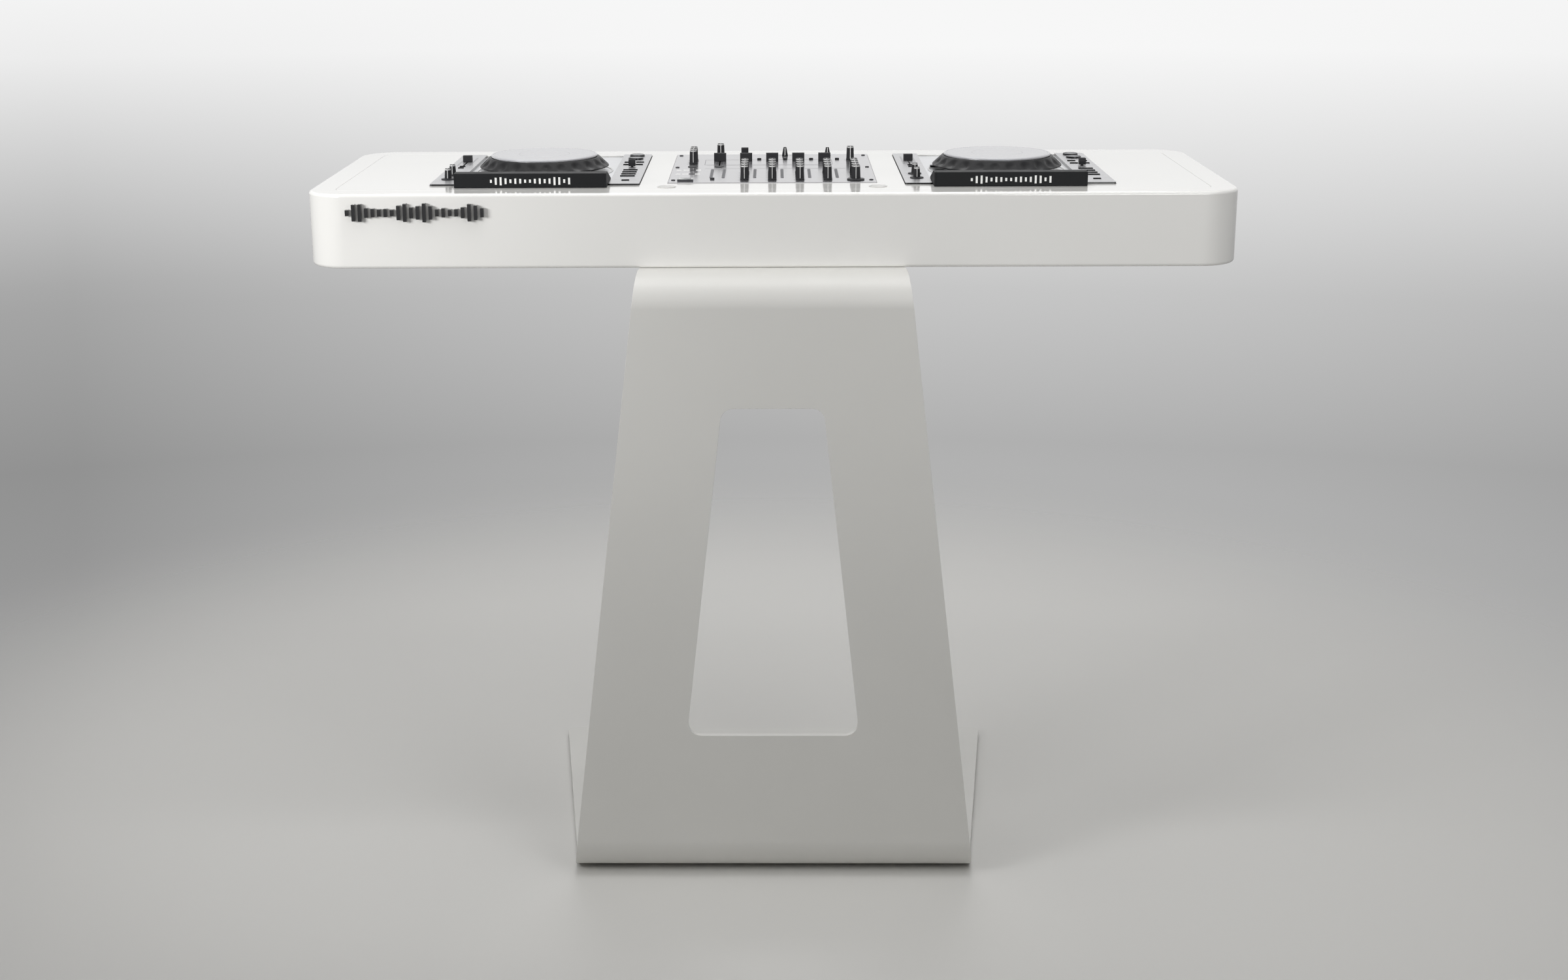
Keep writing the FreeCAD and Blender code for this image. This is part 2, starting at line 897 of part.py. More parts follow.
def make_mixer_case():
    posts = [post(x, y, screw_post_radius, slab_floor_top, plate_underside) for x, y in screw_places]
    case = make_case(0, mixer_y, mixer_width, mixer_depth, plate_underside, posts)
    hole_radius = screw_radius + screw_hole_clearance
    low = plate_top - screw_grip - screw_hole_clearance
    return cut(case, [post(x, y, hole_radius, low, plate_top) for x, y in screw_places])


def make_mixer_plate():
    half = mixer_width / 2
    plate = block(-half, half, mixer_y, mixer_y + mixer_depth, plate_underside, plate_top)
    stems = mixer_stem_places() + fixed_knob_places()
    tools = [knob_hole(x, y, plate_underside, plate_top) for x, y in stems]
    far = mixer_y + mixer_depth * fader_share
    tools += [
        fader_slot(x, far - fader_travel, far, plate_underside, plate_top)
        for x in channel_xs + [master_x]
    ]
    tools.append(cross_slot())
    hole_radius = screw_radius + screw_hole_clearance
    tools += [
        post(x, y, hole_radius, plate_underside - cut_overrun, plate_top + cut_overrun)
        for x, y in screw_places
    ]
    return cut(plate, tools)


def make_screws():
    screws = []
    for x, y in screw_places:
        head = post(x, y, screw_head_radius, plate_top, plate_top + screw_head_height)
        shank = post(x, y, screw_radius, plate_top - screw_grip, plate_top)
        screws.append(fused([head, shank]))
    return Part.makeCompound(screws)


def make_mixer_windows():
    x0 = display_side_margin - mixer_width / 2
    y0 = mixer_y + display_setback
    windows = [block(x0, x0 + display_width, y0, y0 + display_depth, plate_top, plate_top + display_height)]
    xs = [x + meter_offset for x in channel_xs]
    xs += [master_x - master_meter_offset, master_x + master_meter_offset]
    near = mixer_y + mixer_depth * meter_share
    half = meter_width / 2
    meter_top = plate_top + meter_height
    for x in xs:
        windows.append(block(x - half, x + half, near, near + meter_length, plate_top, meter_top))
    return Part.makeCompound(windows)


def make_small_controls():
    pieces = [make_mixer_knob(x, y) for x, y in fixed_knob_places()]
    cue_y = mixer_y + mixer_depth * cue_key_share
    link_y = mixer_y + mixer_depth * link_key_share
    round_keys = [(x + column_pitch / 2, cue_y) for x in channel_xs]
    round_keys.append((master_x - link_key_shift, link_y))
    for x, y in round_keys:
        pieces.append(post(x, y, cue_key_radius, plate_top, plate_top + cue_key_height))
    pad_y = mixer_y + mixer_depth * pad_key_share
    for x in (effects_x, master_x):
        pieces.append(post(x, pad_y, pad_key_radius, plate_top, plate_top + pad_key_height))
    return Part.makeCompound(pieces + make_far_caps())


def make_far_caps():
    foot = Vector(mixer_width * cone_cap_x_share, mixer_y + mixer_depth * cone_cap_share, plate_top)
    cone = Part.makeCone(cone_cap_radius, cone_cap_top_radius, cone_cap_height, foot)
    x = mixer_width * flat_cap_x_share
    y = mixer_y + mixer_depth * flat_cap_share
    cap = block_about(x, y, flat_cap_width, flat_cap_length, plate_top, plate_top + flat_cap_height)
    return [cone, cap]


# Every node of the booth, by name

def make_stand_and_slab():
    return {
        "pedestal": make_pedestal(),
        "floor_glides": make_glides(),
        "pedestal_bolts": make_bolts(),
        "slab_body": make_slab_body(),
        "slab_top_panel": make_top_panel(),
        "port_caps": make_port_caps(),
        "front_bars": make_front_bars(),
    }


def make_player_bodies():
    middles = list(player_middles.values())
    cases = [make_case(x, player_y, player_width, player_depth, player_case_top, []) for x in middles]
    wings = [make_left_wing(x) for x in middles] + [make_right_wing(x) for x in middles]
    keys = [key for x in middles for key in make_player_keys(x)]
    return {
        "player_cases": Part.makeCompound(cases),
        "player_decks": Part.makeCompound([make_deck(x) for x in middles]),
        "player_wing_plates": Part.makeCompound(wings),
        "player_hoods": Part.makeCompound([make_hood(x) for x in middles]),
        "player_screens": Part.makeCompound([make_screen(x) for x in middles]),
        "player_keys": Part.makeCompound(keys),
        "jog_spindles": Part.makeCompound([make_spindle(x) for x in middles]),
    }


def make_player_controls(side):
    places = player_places(player_middles[side])
    tempo = (tempo_cap_width, tempo_cap_length, tempo_cap_height)
    return {
        side + "_jog_ring": make_jog_ring(*places["jog"]),
        side + "_jog_disc": make_jog_disc(*places["jog"]),
        side + "_start_knob": make_speed_knob(*places["start_knob"]),
        side + "_brake_knob": make_speed_knob(*places["brake_knob"]),
        side + "_tempo_fader": make_fader(*places["tempo_fader"], wing_top, *tempo, wing_stem_depth),
        side + "_direction_lever": make_lever(*places["direction_lever"]),
        side + "_cue_button": make_button(*places["cue_button"]),
        side + "_play_button": make_button(*places["play_button"]),
    }


def make_mixer_body():
    boards = [make_board(x, player_y, player_width, player_depth) for x in player_middles.values()]
    boards.append(make_board(0, mixer_y, mixer_width, mixer_depth))
    return {
        "mixer_case": make_mixer_case(),
        "mixer_plate": make_mixer_plate(),
        "mixer_screws": make_screws(),
        "mixer_windows": make_mixer_windows(),
        "mixer_small_controls": make_small_controls(),
        "circuit_boards": Part.makeCompound(boards),
    }


def make_mixer_controls():
    cap = (fader_cap_width, fader_cap_length, fader_cap_height)
    fader_y = mixer_y + mixer_depth * fader_share
    nodes = {}
    for number, x in enumerate(channel_xs, start=1):
        channel = "channel_" + str(number)
        for name, y in zip(knob_names, knob_ys):
            nodes[channel + "_" + name + "_knob"] = make_mixer_knob(x, y)
        nodes[channel + "_fader"] = make_fader(x, fader_y, plate_top, *cap, blade_depth)
    nodes["master_fader"] = make_fader(master_x, fader_y, plate_top, *cap, blade_depth)
    nodes["crossfader"] = make_crossfader()
    nodes["effects_knob"] = make_mixer_knob(effects_x, effects_ys[0])
    nodes["phones_knob"] = make_phones_knob(phones_x, knob_ys[0])
    return nodes


def make_booth():
    nodes = make_stand_and_slab()
    nodes.update(make_player_bodies())
    for side in player_middles:
        nodes.update(make_player_controls(side))
    nodes.update(make_mixer_body())
    nodes.update(make_mixer_controls())
    return nodes


booth = make_booth()
os.makedirs("parts", exist_ok=True)
for node, shape in booth.items():
    shape.exportStep(os.path.join("parts", node + ".step"))
    state = "valid" if shape.isValid() else "broken"
    print(node, len(shape.Solids), "solids", round(shape.Volume), "cubic mm", state)
print(len(booth), "nodes")
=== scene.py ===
import bmesh
import bpy
import json
import math
from mathutils import Matrix, Vector

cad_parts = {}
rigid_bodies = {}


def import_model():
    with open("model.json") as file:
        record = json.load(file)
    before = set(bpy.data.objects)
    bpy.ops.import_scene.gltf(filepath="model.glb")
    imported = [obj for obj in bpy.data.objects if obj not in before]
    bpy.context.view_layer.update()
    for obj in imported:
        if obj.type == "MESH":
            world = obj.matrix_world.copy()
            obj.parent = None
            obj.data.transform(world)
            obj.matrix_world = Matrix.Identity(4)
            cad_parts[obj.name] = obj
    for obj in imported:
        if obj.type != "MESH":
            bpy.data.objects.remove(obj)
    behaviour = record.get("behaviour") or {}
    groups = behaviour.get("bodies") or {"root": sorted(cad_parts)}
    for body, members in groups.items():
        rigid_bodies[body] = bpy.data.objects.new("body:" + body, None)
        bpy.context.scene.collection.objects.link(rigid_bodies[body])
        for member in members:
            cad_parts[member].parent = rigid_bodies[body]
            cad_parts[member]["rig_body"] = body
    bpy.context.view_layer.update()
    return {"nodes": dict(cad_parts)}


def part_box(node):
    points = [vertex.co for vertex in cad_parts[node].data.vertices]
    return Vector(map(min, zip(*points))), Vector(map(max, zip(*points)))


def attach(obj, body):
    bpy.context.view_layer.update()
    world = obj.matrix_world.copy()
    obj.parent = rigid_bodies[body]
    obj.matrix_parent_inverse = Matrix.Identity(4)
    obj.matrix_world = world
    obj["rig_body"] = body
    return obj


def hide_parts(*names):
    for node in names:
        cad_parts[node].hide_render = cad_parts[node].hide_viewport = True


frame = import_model()
nodes = frame["nodes"]
scene = bpy.context.scene
mm = 0.001  # the sizes in the dictionaries are millimetres
sides = ("left", "right")
print("frame loaded with", len(nodes), "nodes")


# Nodes and finishes

def fromHex(text):
    parts = [int(text[i:i + 2], 16) / 255 for i in (1, 3, 5)]
    return (*[p / 12.92 if p <= 0.04045 else ((p + 0.055) / 1.055) ** 2.4 for p in parts], 1.0)


def addNode(tree, kind, inputs=None, **settings):
    node = tree.nodes.new(kind)
    for name, value in settings.items():
        setattr(node, name, value)
    for key, value in (inputs or {}).items():
        if isinstance(value, bpy.types.NodeSocket):
            tree.links.new(value, node.inputs[key])
        else:
            node.inputs[key].default_value = value
    return node


# grain of about the given millimetres, alike all ways or one each along x, y and z, fixed to the piece
def surfaceGrain(tree, size, detail=2.0):
    spot = addNode(tree, "ShaderNodeTexCoord").outputs["Object"]
    sizes = size if isinstance(size, tuple) else (size, size, size)
    scale = tuple(1 / (s * mm) for s in sizes)
    turned = addNode(tree, "ShaderNodeMapping", {"Vector": spot, "Scale": scale})
    noise = addNode(tree, "ShaderNodeTexNoise", {"Vector": turned.outputs[0], "Scale": 1.0, "Detail": detail})
    return noise.outputs[0]


# two tones mottled over the surface, a roughness that drifts and a fine relief
def makeFinish(name, look):
    finish = bpy.data.materials.new(name)
    finish.use_nodes = True
    tree = finish.node_tree
    tree.nodes.clear()
    shader = addNode(tree, "ShaderNodeBsdfPrincipled", look["shader"])
    addNode(tree, "ShaderNodeOutputMaterial", {"Surface": shader.outputs[0]})
    mottle = surfaceGrain(tree, look["mottle"], look.get("detail", 3.0))
    colours = {0: mottle, 6: fromHex(look["colour"]), 7: fromHex(look["tint"])}
    tone = addNode(tree, "ShaderNodeMix", colours, data_type="RGBA")
    tree.links.new(tone.outputs[2], shader.inputs["Base Color"])
    low, high = look["roughness"]
    worn = addNode(tree, "ShaderNodeMapRange", {0: mottle, 1: 0.3, 2: 0.7, 3: low, 4: high})
    tree.links.new(worn.outputs[0], shader.inputs["Roughness"])
    relief = surfaceGrain(tree, look["grain"])
    bump = {"Height": relief, "Strength": look["relief"], "Distance": look["depth"] * mm}
    tree.links.new(addNode(tree, "ShaderNodeBump", bump).outputs[0], shader.inputs["Normal"])
    return finish


# polyurethane lacquer, sprayed and polished: wet gloss with a faint orange peel
glossLacquer = makeFinish("gloss_lacquer", {
    "colour": "#f5f4f1", "tint": "#efeeea", "mottle": 240, "roughness": (0.10, 0.15),
    "grain": 7, "relief": 0.05, "depth": 0.05,
    "shader": {"IOR": 1.5, "Coat Weight": 0.35, "Coat Roughness": 0.03},
})

# polyester powder coat, baked on steel: satin, with an orange peel drawn a little coarser than life
powderCoat = makeFinish("powder_coat", {
    "colour": "#dddcd8", "tint": "#d7d6d2", "mottle": 160, "roughness": (0.36, 0.44),
    "grain": 2.2, "relief": 0.12, "depth": 0.06, "shader": {"IOR": 1.5},
})

# turned polyamide caps, fine satin and a shade greyer than the lacquer
portPlastic = makeFinish("port_polyamide", {
    "colour": "#cfcecb", "tint": "#c3c2bf", "mottle": 9, "roughness": (0.28, 0.36),
    "grain": 1.2, "relief": 0.08, "depth": 0.05, "shader": {"IOR": 1.53},
})

# cast acrylic, laser cut: black with a glassy face
blackAcrylic = makeFinish("black_acrylic", {
    "colour": "#101012", "tint": "#17171a", "mottle": 40, "roughness": (0.06, 0.12),
    "grain": 12, "relief": 0.03, "depth": 0.05, "shader": {"IOR": 1.49, "Coat Weight": 0.4},
})

# moulded ABS with a spark-eroded grain: dull black, grain drawn coarse enough to show
hoodPlastic = makeFinish("hood_abs", {
    "colour": "#131415", "tint": "#191a1c", "mottle": 14, "roughness": (0.52, 0.62),
    "grain": 0.9, "relief": 0.18, "depth": 0.05,
    "shader": {"IOR": 1.53, "Specular IOR Level": 0.15},
})

# polished ABS of the trim strips: the same black, but shining
glossPlastic = makeFinish("gloss_abs", {
    "colour": "#0f0f11", "tint": "#151518", "mottle": 30, "roughness": (0.14, 0.22),
    "grain": 8, "relief": 0.04, "depth": 0.04, "shader": {"IOR": 1.53, "Specular IOR Level": 0.4},
})

# silver paint over ABS: fine metal flake under a thin clear coat
silverPaint = makeFinish("silver_paint", {
    "colour": "#dedfe1", "tint": "#d0d1d4", "mottle": 0.8, "roughness": (0.28, 0.40),
    "grain": 0.7, "relief": 0.06, "depth": 0.03,
    "shader": {"Metallic": 0.2, "Coat Weight": 0.25, "Coat Roughness": 0.12},
})

# brushed aluminium, clear anodised: long hairlines across the plate
brushedWing = makeFinish("brushed_wing_aluminium", {
    "colour": "#c1c1c2", "tint": "#a3a3a5", "mottle": (46, 0.5, 4), "roughness": (0.26, 0.38),
    "grain": (60, 0.45, 4), "relief": 0.16, "depth": 0.03, "detail": 4.0, "shader": {"Metallic": 0.85},
})

# bead-blasted and clear anodised aluminium: even satin that still mirrors the knobs
satinPlate = makeFinish("anodised_plate", {
    "colour": "#c2c1c3", "tint": "#b2b1b4", "mottle": (60, 0.7, 6), "roughness": (0.15, 0.21),
    "grain": 0.8, "relief": 0.05, "depth": 0.02, "detail": 4.0, "shader": {"Metallic": 0.8},
})

# soft-touch elastomer of knobs and keys: velvety black
softRubber = makeFinish("soft_touch_rubber", {
    "colour": "#151517", "tint": "#1e1e21", "mottle": 5, "roughness": (0.52, 0.64),
    "grain": 0.5, "relief": 0.15, "depth": 0.04,
    "shader": {"IOR": 1.52, "Specular IOR Level": 0.25, "Sheen Weight": 0.05},
})

# silicone of the small keys: the flattest black on the booth
keySilicone = makeFinish("key_silicone", {
    "colour": "#0d0d0e", "tint": "#141415", "mottle": 3, "roughness": (0.8, 0.9),
    "grain": 0.5, "relief": 0.12, "depth": 0.03, "shader": {"IOR": 1.41, "Specular IOR Level": 0.02},
})

# light polycarbonate rings and faces pressed into knobs and buttons
lightCap = makeFinish("light_polycarbonate", {
    "colour": "#cfcfce", "tint": "#c2c2c1", "mottle": 6, "roughness": (0.24, 0.32),
    "grain": 0.8, "relief": 0.06, "depth": 0.03, "shader": {"IOR": 1.58},
})

# polycarbonate faces of the round buttons, grey and etched
buttonGrey = makeFinish("etched_polycarbonate", {
    "colour": "#a2a3a5", "tint": "#97989a", "mottle": 5, "roughness": (0.4, 0.5),
    "grain": 0.8, "relief": 0.06, "depth": 0.03, "shader": {"IOR": 1.58, "Specular IOR Level": 0.15},
})

# screen-printing inks: flat, matt and slightly raised
whiteInk = makeFinish("white_ink", {
    "colour": "#efefed", "tint": "#e6e6e4", "mottle": 3, "roughness": (0.5, 0.6),
    "grain": 0.5, "relief": 0.08, "depth": 0.02, "shader": {"IOR": 1.5},
})
greyInk = makeFinish("grey_ink", {
    "colour": "#727275", "tint": "#7c7c7f", "mottle": 3, "roughness": (0.6, 0.7),
    "grain": 0.5, "relief": 0.08, "depth": 0.02, "shader": {"IOR": 1.5, "Specular IOR Level": 0.1},
})
blackInk = makeFinish("black_ink", {
    "colour": "#1f1f21", "tint": "#28282a", "mottle": 3, "roughness": (0.6, 0.7),
    "grain": 0.5, "relief": 0.08, "depth": 0.02, "shader": {"IOR": 1.5, "Specular IOR Level": 0.1},
})

# black polycarbonate of the jog ring: moulded, with a soft shine
jogPlastic = makeFinish("jog_polycarbonate", {
    "colour": "#101012", "tint": "#161618", "mottle": 18, "roughness": (0.36, 0.44),
    "grain": 1.0, "relief": 0.08, "depth": 0.04, "shader": {"IOR": 1.58, "Specular IOR Level": 0.17},
})

# pearl-grey acrylic of the jog's top, polished
pearlAcrylic = makeFinish("pearl_acrylic", {
    "colour": "#c3c3c6", "tint": "#bbbbbe", "mottle": 1.2, "roughness": (0.2, 0.28),
    "grain": 9, "relief": 0.03, "depth": 0.04,
    "shader": {"IOR": 1.49, "Metallic": 0.1, "Coat Weight": 0.2, "Coat Roughness": 0.08},
})

# smoked acrylic over the meters and displays
smokedGlass = makeFinish("smoked_acrylic", {
    "colour": "#2b2c30", "tint": "#323338", "mottle": 25, "roughness": (0.05, 0.10),
    "grain": 10, "relief": 0.02, "depth": 0.03, "shader": {"IOR": 1.49, "Coat Weight": 0.5},
})

# grey-smoked polycarbonate strips of the level meters, satin
meterStrip = makeFinish("smoked_polycarbonate", {
    "colour": "#737376", "tint": "#7c7c7f", "mottle": 12, "roughness": (0.44, 0.52),
    "grain": 0.8, "relief": 0.06, "depth": 0.02, "shader": {"IOR": 1.58, "Specular IOR Level": 0.08},
})

# unlit lamps in the strips, a dusty grey
lampGrey = makeFinish("lamp_epoxy", {
    "colour": "#5c5d5f", "tint": "#666769", "mottle": 2, "roughness": (0.4, 0.5),
    "grain": 0.6, "relief": 0.08, "depth": 0.02, "shader": {"IOR": 1.52, "Specular IOR Level": 0.1},
})

# lit pixels of the displays: cool, weak glow
litPixels = makeFinish("lit_pixels", {
    "colour": "#9fc6dd", "tint": "#b7d6e6", "mottle": 3, "roughness": (0.3, 0.4),
    "grain": 0.6, "relief": 0.02, "depth": 0.01,
    "shader": {"IOR": 1.5, "Emission Color": fromHex("#7fb8dc"), "Emission Strength": 0.55},
})

# liquid crystal face of the mixer's display
crystalFace = makeFinish("liquid_crystal", {
    "colour": "#c9cdc9", "tint": "#bfc4c0", "mottle": 4, "roughness": (0.12, 0.2),
    "grain": 3, "relief": 0.03, "depth": 0.02, "shader": {"IOR": 1.5, "Coat Weight": 0.4},
})

# steels: zinc plate with its crystal spangle, black oxide, ground bar and painted sheet
zincSteel = makeFinish("zinc_plated_steel", {
    "colour": "#c3c6c9", "tint": "#a7abb0", "mottle": 2.5, "roughness": (0.24, 0.38),
    "grain": 0.8, "relief": 0.08, "depth": 0.02, "shader": {"Metallic": 1.0},
})
blackOxide = makeFinish("black_oxide_steel", {
    "colour": "#2a2a2c", "tint": "#37373a", "mottle": 1.5, "roughness": (0.32, 0.46),
    "grain": 0.6, "relief": 0.10, "depth": 0.02, "shader": {"Metallic": 0.9},
})
groundSteel = makeFinish("ground_steel", {
    "colour": "#b9bbbe", "tint": "#9a9da1", "mottle": (6, 6, 0.6), "roughness": (0.18, 0.3),
    "grain": (6, 6, 0.4), "relief": 0.10, "depth": 0.02, "shader": {"Metallic": 1.0},
})
paintedSheet = makeFinish("painted_sheet_steel", {
    "colour": "#242528", "tint": "#2c2d30", "mottle": 25, "roughness": (0.42, 0.54),
    "grain": 1.4, "relief": 0.16, "depth": 0.05, "shader": {"IOR": 1.5},
})

# nitrile rubber glides and glass-epoxy boards, both out of sight in use
glideRubber = makeFinish("nitrile_rubber", {
    "colour": "#1c1c1c", "tint": "#262625", "mottle": 7, "roughness": (0.6, 0.75),
    "grain": 0.8, "relief": 0.2, "depth": 0.05, "shader": {"IOR": 1.52},
})
boardResin = makeFinish("glass_epoxy_board", {
    "colour": "#1d5a35", "tint": "#2c7447", "mottle": (22, 1.4, 8), "roughness": (0.28, 0.4),
    "grain": 1.2, "relief": 0.1, "depth": 0.04, "shader": {"IOR": 1.55, "Coat Weight": 0.3},
})
print("finishes mixed")


# Mesh making

# boxes of the separate solids in a node, from low x and y upwards
def solidsOf(node):
    bm = bmesh.new()
    bm.from_mesh(nodes[node].data)
    bmesh.ops.remove_doubles(bm, verts=bm.verts, dist=1e-6)
    seen = set()
    boxes = []
    for first in bm.verts:
        if first in seen:
            continue
        seen.add(first)
        waiting = [first]
        found = []
        while waiting:
            vert = waiting.pop()
            found.append(vert.co.copy())
            for edge in vert.link_edges:
                other = edge.other_vert(vert)
                if other not in seen:
                    seen.add(other)
                    waiting.append(other)
        low = Vector([min(p[i] for p in found) for i in range(3)])
        high = Vector([max(p[i] for p in found) for i in range(3)])
        boxes.append((low, high))
    bm.free()
    return sorted(boxes, key=lambda box: (round(box[0].x, 4), round(box[0].y, 4)))


def middleOf(box):
    return (box[0] + box[1]) / 2


# the box's middle, at height z
def spotOf(box, z):
    middle = middleOf(box)
    return Vector((middle.x, middle.y, z))


# closed outline with arcs for corners; one radius, or one for each point
def softOutline(points, radius, steps=5):
    radii = radius if isinstance(radius, list) else [radius] * len(points)
    outline = []
    for i, size in enumerate(radii):
        here = Vector(points[i])
        if size <= 0:
            outline.append(here)
            continue
        before = Vector(points[i - 1]) - here
        after = Vector(points[(i + 1) % len(points)]) - here
        half = before.angle(after) / 2
        reach = min(size / math.tan(half), before.length * 0.48, after.length * 0.48)
        middle = (before.normalized() + after.normalized()).normalized() * (reach / math.cos(half))
        start = before.normalized() * reach - middle
        end = after.normalized() * reach - middle
        sweep = start.angle(end)
        for step in range(steps + 1):
            share = step / steps
            turn = start * math.sin((1 - share) * sweep) + end * math.sin(share * sweep)
            outline.append(here + middle + turn / math.sin(sweep))
    return outline


def addLoft(bm, rings, finish=0):
    for lower, upper in zip(rings, rings[1:]):
        for i in range(len(lower)):
            j = (i + 1) % len(lower)
            bm.faces.new((lower[i], lower[j], upper[j], upper[i])).material_index = finish
    for ring in (rings[0], rings[-1]):
        bm.faces.new(ring).material_index = finish


# outline in the plane across the axis, in metres: y and z along x, x and z along y, x and y along z
def addPrism(bm, outline, axis, start, end, finish=0):
    def place(u, v, w):
        return {"x": (w, u, v), "y": (u, w, v), "z": (u, v, w)}[axis]
    rings = [[bm.verts.new(place(u, v, w)) for u, v in outline] for w in (start, end)]
    addLoft(bm, rings, finish)


def addBox(bm, low, high, finish=0):
    outline = [(low[0], low[1]), (high[0], low[1]), (high[0], high[1]), (low[0], high[1])]
    addPrism(bm, outline, "z", low[2], high[2], finish)


# a slice across x, with its outline of y and z in millimetres from foot
def addSlice(bm, outline, foot, half, finish=0):
    spots = [(foot.y + y * mm, foot.z + z * mm) for y, z in outline]
    addPrism(bm, spots, "x", foot.x - half, foot.x + half, finish)


# outline of radius and height in millimetres, turned about the upright through foot
def addSpun(bm, outline, foot, steps=48, finish=0, shape=None):
    rings = []
    for radius, height in outline:
        ring = []
        for step in range(steps if radius > 0 else 1):
            angle = 2 * math.pi * step / steps
            r, h = shape(angle, radius, height) if shape else (radius, height)
            spot = Vector((r * math.cos(angle), r * math.sin(angle), h)) * mm
            ring.append(bm.verts.new(foot + spot))
        rings.append(ring)
    for lower, upper in zip(rings, rings[1:]):
        for i in range(steps):
            j = (i + 1) % steps
            below = [lower[i % len(lower)], lower[j % len(lower)]]
            above = [upper[j % len(upper)], upper[i % len(upper)]]
            corners = list(dict.fromkeys(below + above))
            if len(corners) > 2:
                bm.faces.new(corners).material_index = finish


def softenEdges(bm, width, segments=2, angle=30):
    bmesh.ops.recalc_face_normals(bm, faces=bm.faces)
    sharp = [e for e in bm.edges if e.is_manifold and e.calc_face_angle() > math.radians(angle)]
    bmesh.ops.bevel(
        bm, geom=sharp, offset=width * mm, offset_type="OFFSET", segments=segments, profile=0.5,
        affect="EDGES", clamp_overlap=True, material=-1)


def softenPiece(piece, width, segments=2, angle=30):
    bm = bmesh.new()
    bm.from_mesh(piece.data)
    softenEdges(bm, width, segments, angle)
    bm.to_mesh(piece.data)
    bm.free()


# merged copy of a node's solids, with flat faces made whole
def copyOf(node):
    bm = bmesh.new()
    bm.from_mesh(nodes[node].data)
    bmesh.ops.remove_doubles(bm, verts=bm.verts, dist=1e-6)
    bmesh.ops.dissolve_limit(bm, angle_limit=math.radians(0.5), verts=bm.verts, edges=bm.edges)
    return bm


def paintFaces(bm, finish, test):
    for face in bm.faces:
        if test(face.calc_center_median(), face.normal):
            face.material_index = finish


def settle(piece):
    graph = bpy.context.evaluated_depsgraph_get()
    made = bpy.data.meshes.new_from_object(
        piece.evaluated_get(graph), preserve_all_data_layers=True, depsgraph=graph)
    before = piece.data
    piece.modifiers.clear()
    piece.data = made
    bpy.data.meshes.remove(before)
    made.name = piece.name


def shadeEvenly(piece, angle):
    mesh = piece.data
    mesh.polygons.foreach_set("use_smooth", [True] * len(mesh.polygons))
    mesh.set_sharp_from_angle(angle=math.radians(angle))
    keeper = piece.modifiers.new("even shading", "WEIGHTED_NORMAL")
    keeper.keep_sharp = True
    settle(piece)


def newObject(name, bm, finishes):
    mesh = bpy.data.meshes.new(name)
    bm.to_mesh(mesh)
    bm.free()
    for finish in finishes:
        mesh.materials.append(finish)
    piece = bpy.data.objects.new(name, mesh)
    scene.collection.objects.link(piece)
    return piece


# piece rides on the body of the node that it stands for or sits on
def seatPiece(piece, node, stands=True):
    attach(piece, nodes[node]["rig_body"])
    if stands:
        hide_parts(node)
    return piece


def finishPiece(name, bm, finishes, node, stands=True, angle=35):
    bmesh.ops.recalc_face_normals(bm, faces=bm.faces)
    piece = newObject(name, bm, finishes)
    shadeEvenly(piece, angle)
    return seatPiece(piece, node, stands)


# a node's own solids with softened edges
def softCopy(node, finish, width, segments=2):
    bm = copyOf(node)
    softenEdges(bm, width, segments)
    finishPiece(node + "_visual", bm, [finish], node)


def cutAway(piece, bm):
    bmesh.ops.recalc_face_normals(bm, faces=bm.faces)
    cutter = newObject("cutter", bm, [])
    carve = piece.modifiers.new("cut", "BOOLEAN")
    carve.operation = "DIFFERENCE"
    carve.solver = "EXACT"
    carve.object = cutter
    settle(piece)
    bpy.data.objects.remove(cutter)


# Geometry node trees for what repeats

def startTree(name, inputs):
    tree = bpy.data.node_groups.new(name, "GeometryNodeTree")
    tree.interface.new_socket("Geometry", in_out="OUTPUT", socket_type="NodeSocketGeometry")
    for label, kind in {"Geometry": "NodeSocketGeometry", **inputs, "Finish": "NodeSocketMaterial"}.items():
        tree.interface.new_socket(label, in_out="INPUT", socket_type=kind)
    return tree, addNode(tree, "NodeGroupInput").outputs


# instance set on every point, turned and sized by the points' own attributes
def endTree(tree, given, instance):
    turn = addNode(tree, "GeometryNodeInputNamedAttribute", {"Name": "turn"}, data_type="FLOAT_VECTOR")
    size = addNode(tree, "GeometryNodeInputNamedAttribute", {"Name": "size"}, data_type="FLOAT_VECTOR")
    spread = addNode(tree, "GeometryNodeInstanceOnPoints", {
        "Points": given["Geometry"], "Instance": instance,
        "Rotation": turn.outputs[0], "Scale": size.outputs[0]})
    real = addNode(tree, "GeometryNodeRealizeInstances", {"Geometry": spread.outputs[0]})
    coat = {"Geometry": real.outputs[0], "Material": given["Finish"]}
    coated = addNode(tree, "GeometryNodeSetMaterial", coat)
    addNode(tree, "NodeGroupOutput", {"Geometry": coated.outputs[0]})
    return tree


def patternTree():
    tree, given = startTree("repeat a pattern", {"Pattern": "NodeSocketObject"})
    shape = addNode(tree, "GeometryNodeObjectInfo", {"Object": given["Pattern"]}, transform_space="ORIGINAL")
    return endTree(tree, given, shape.outputs["Geometry"])


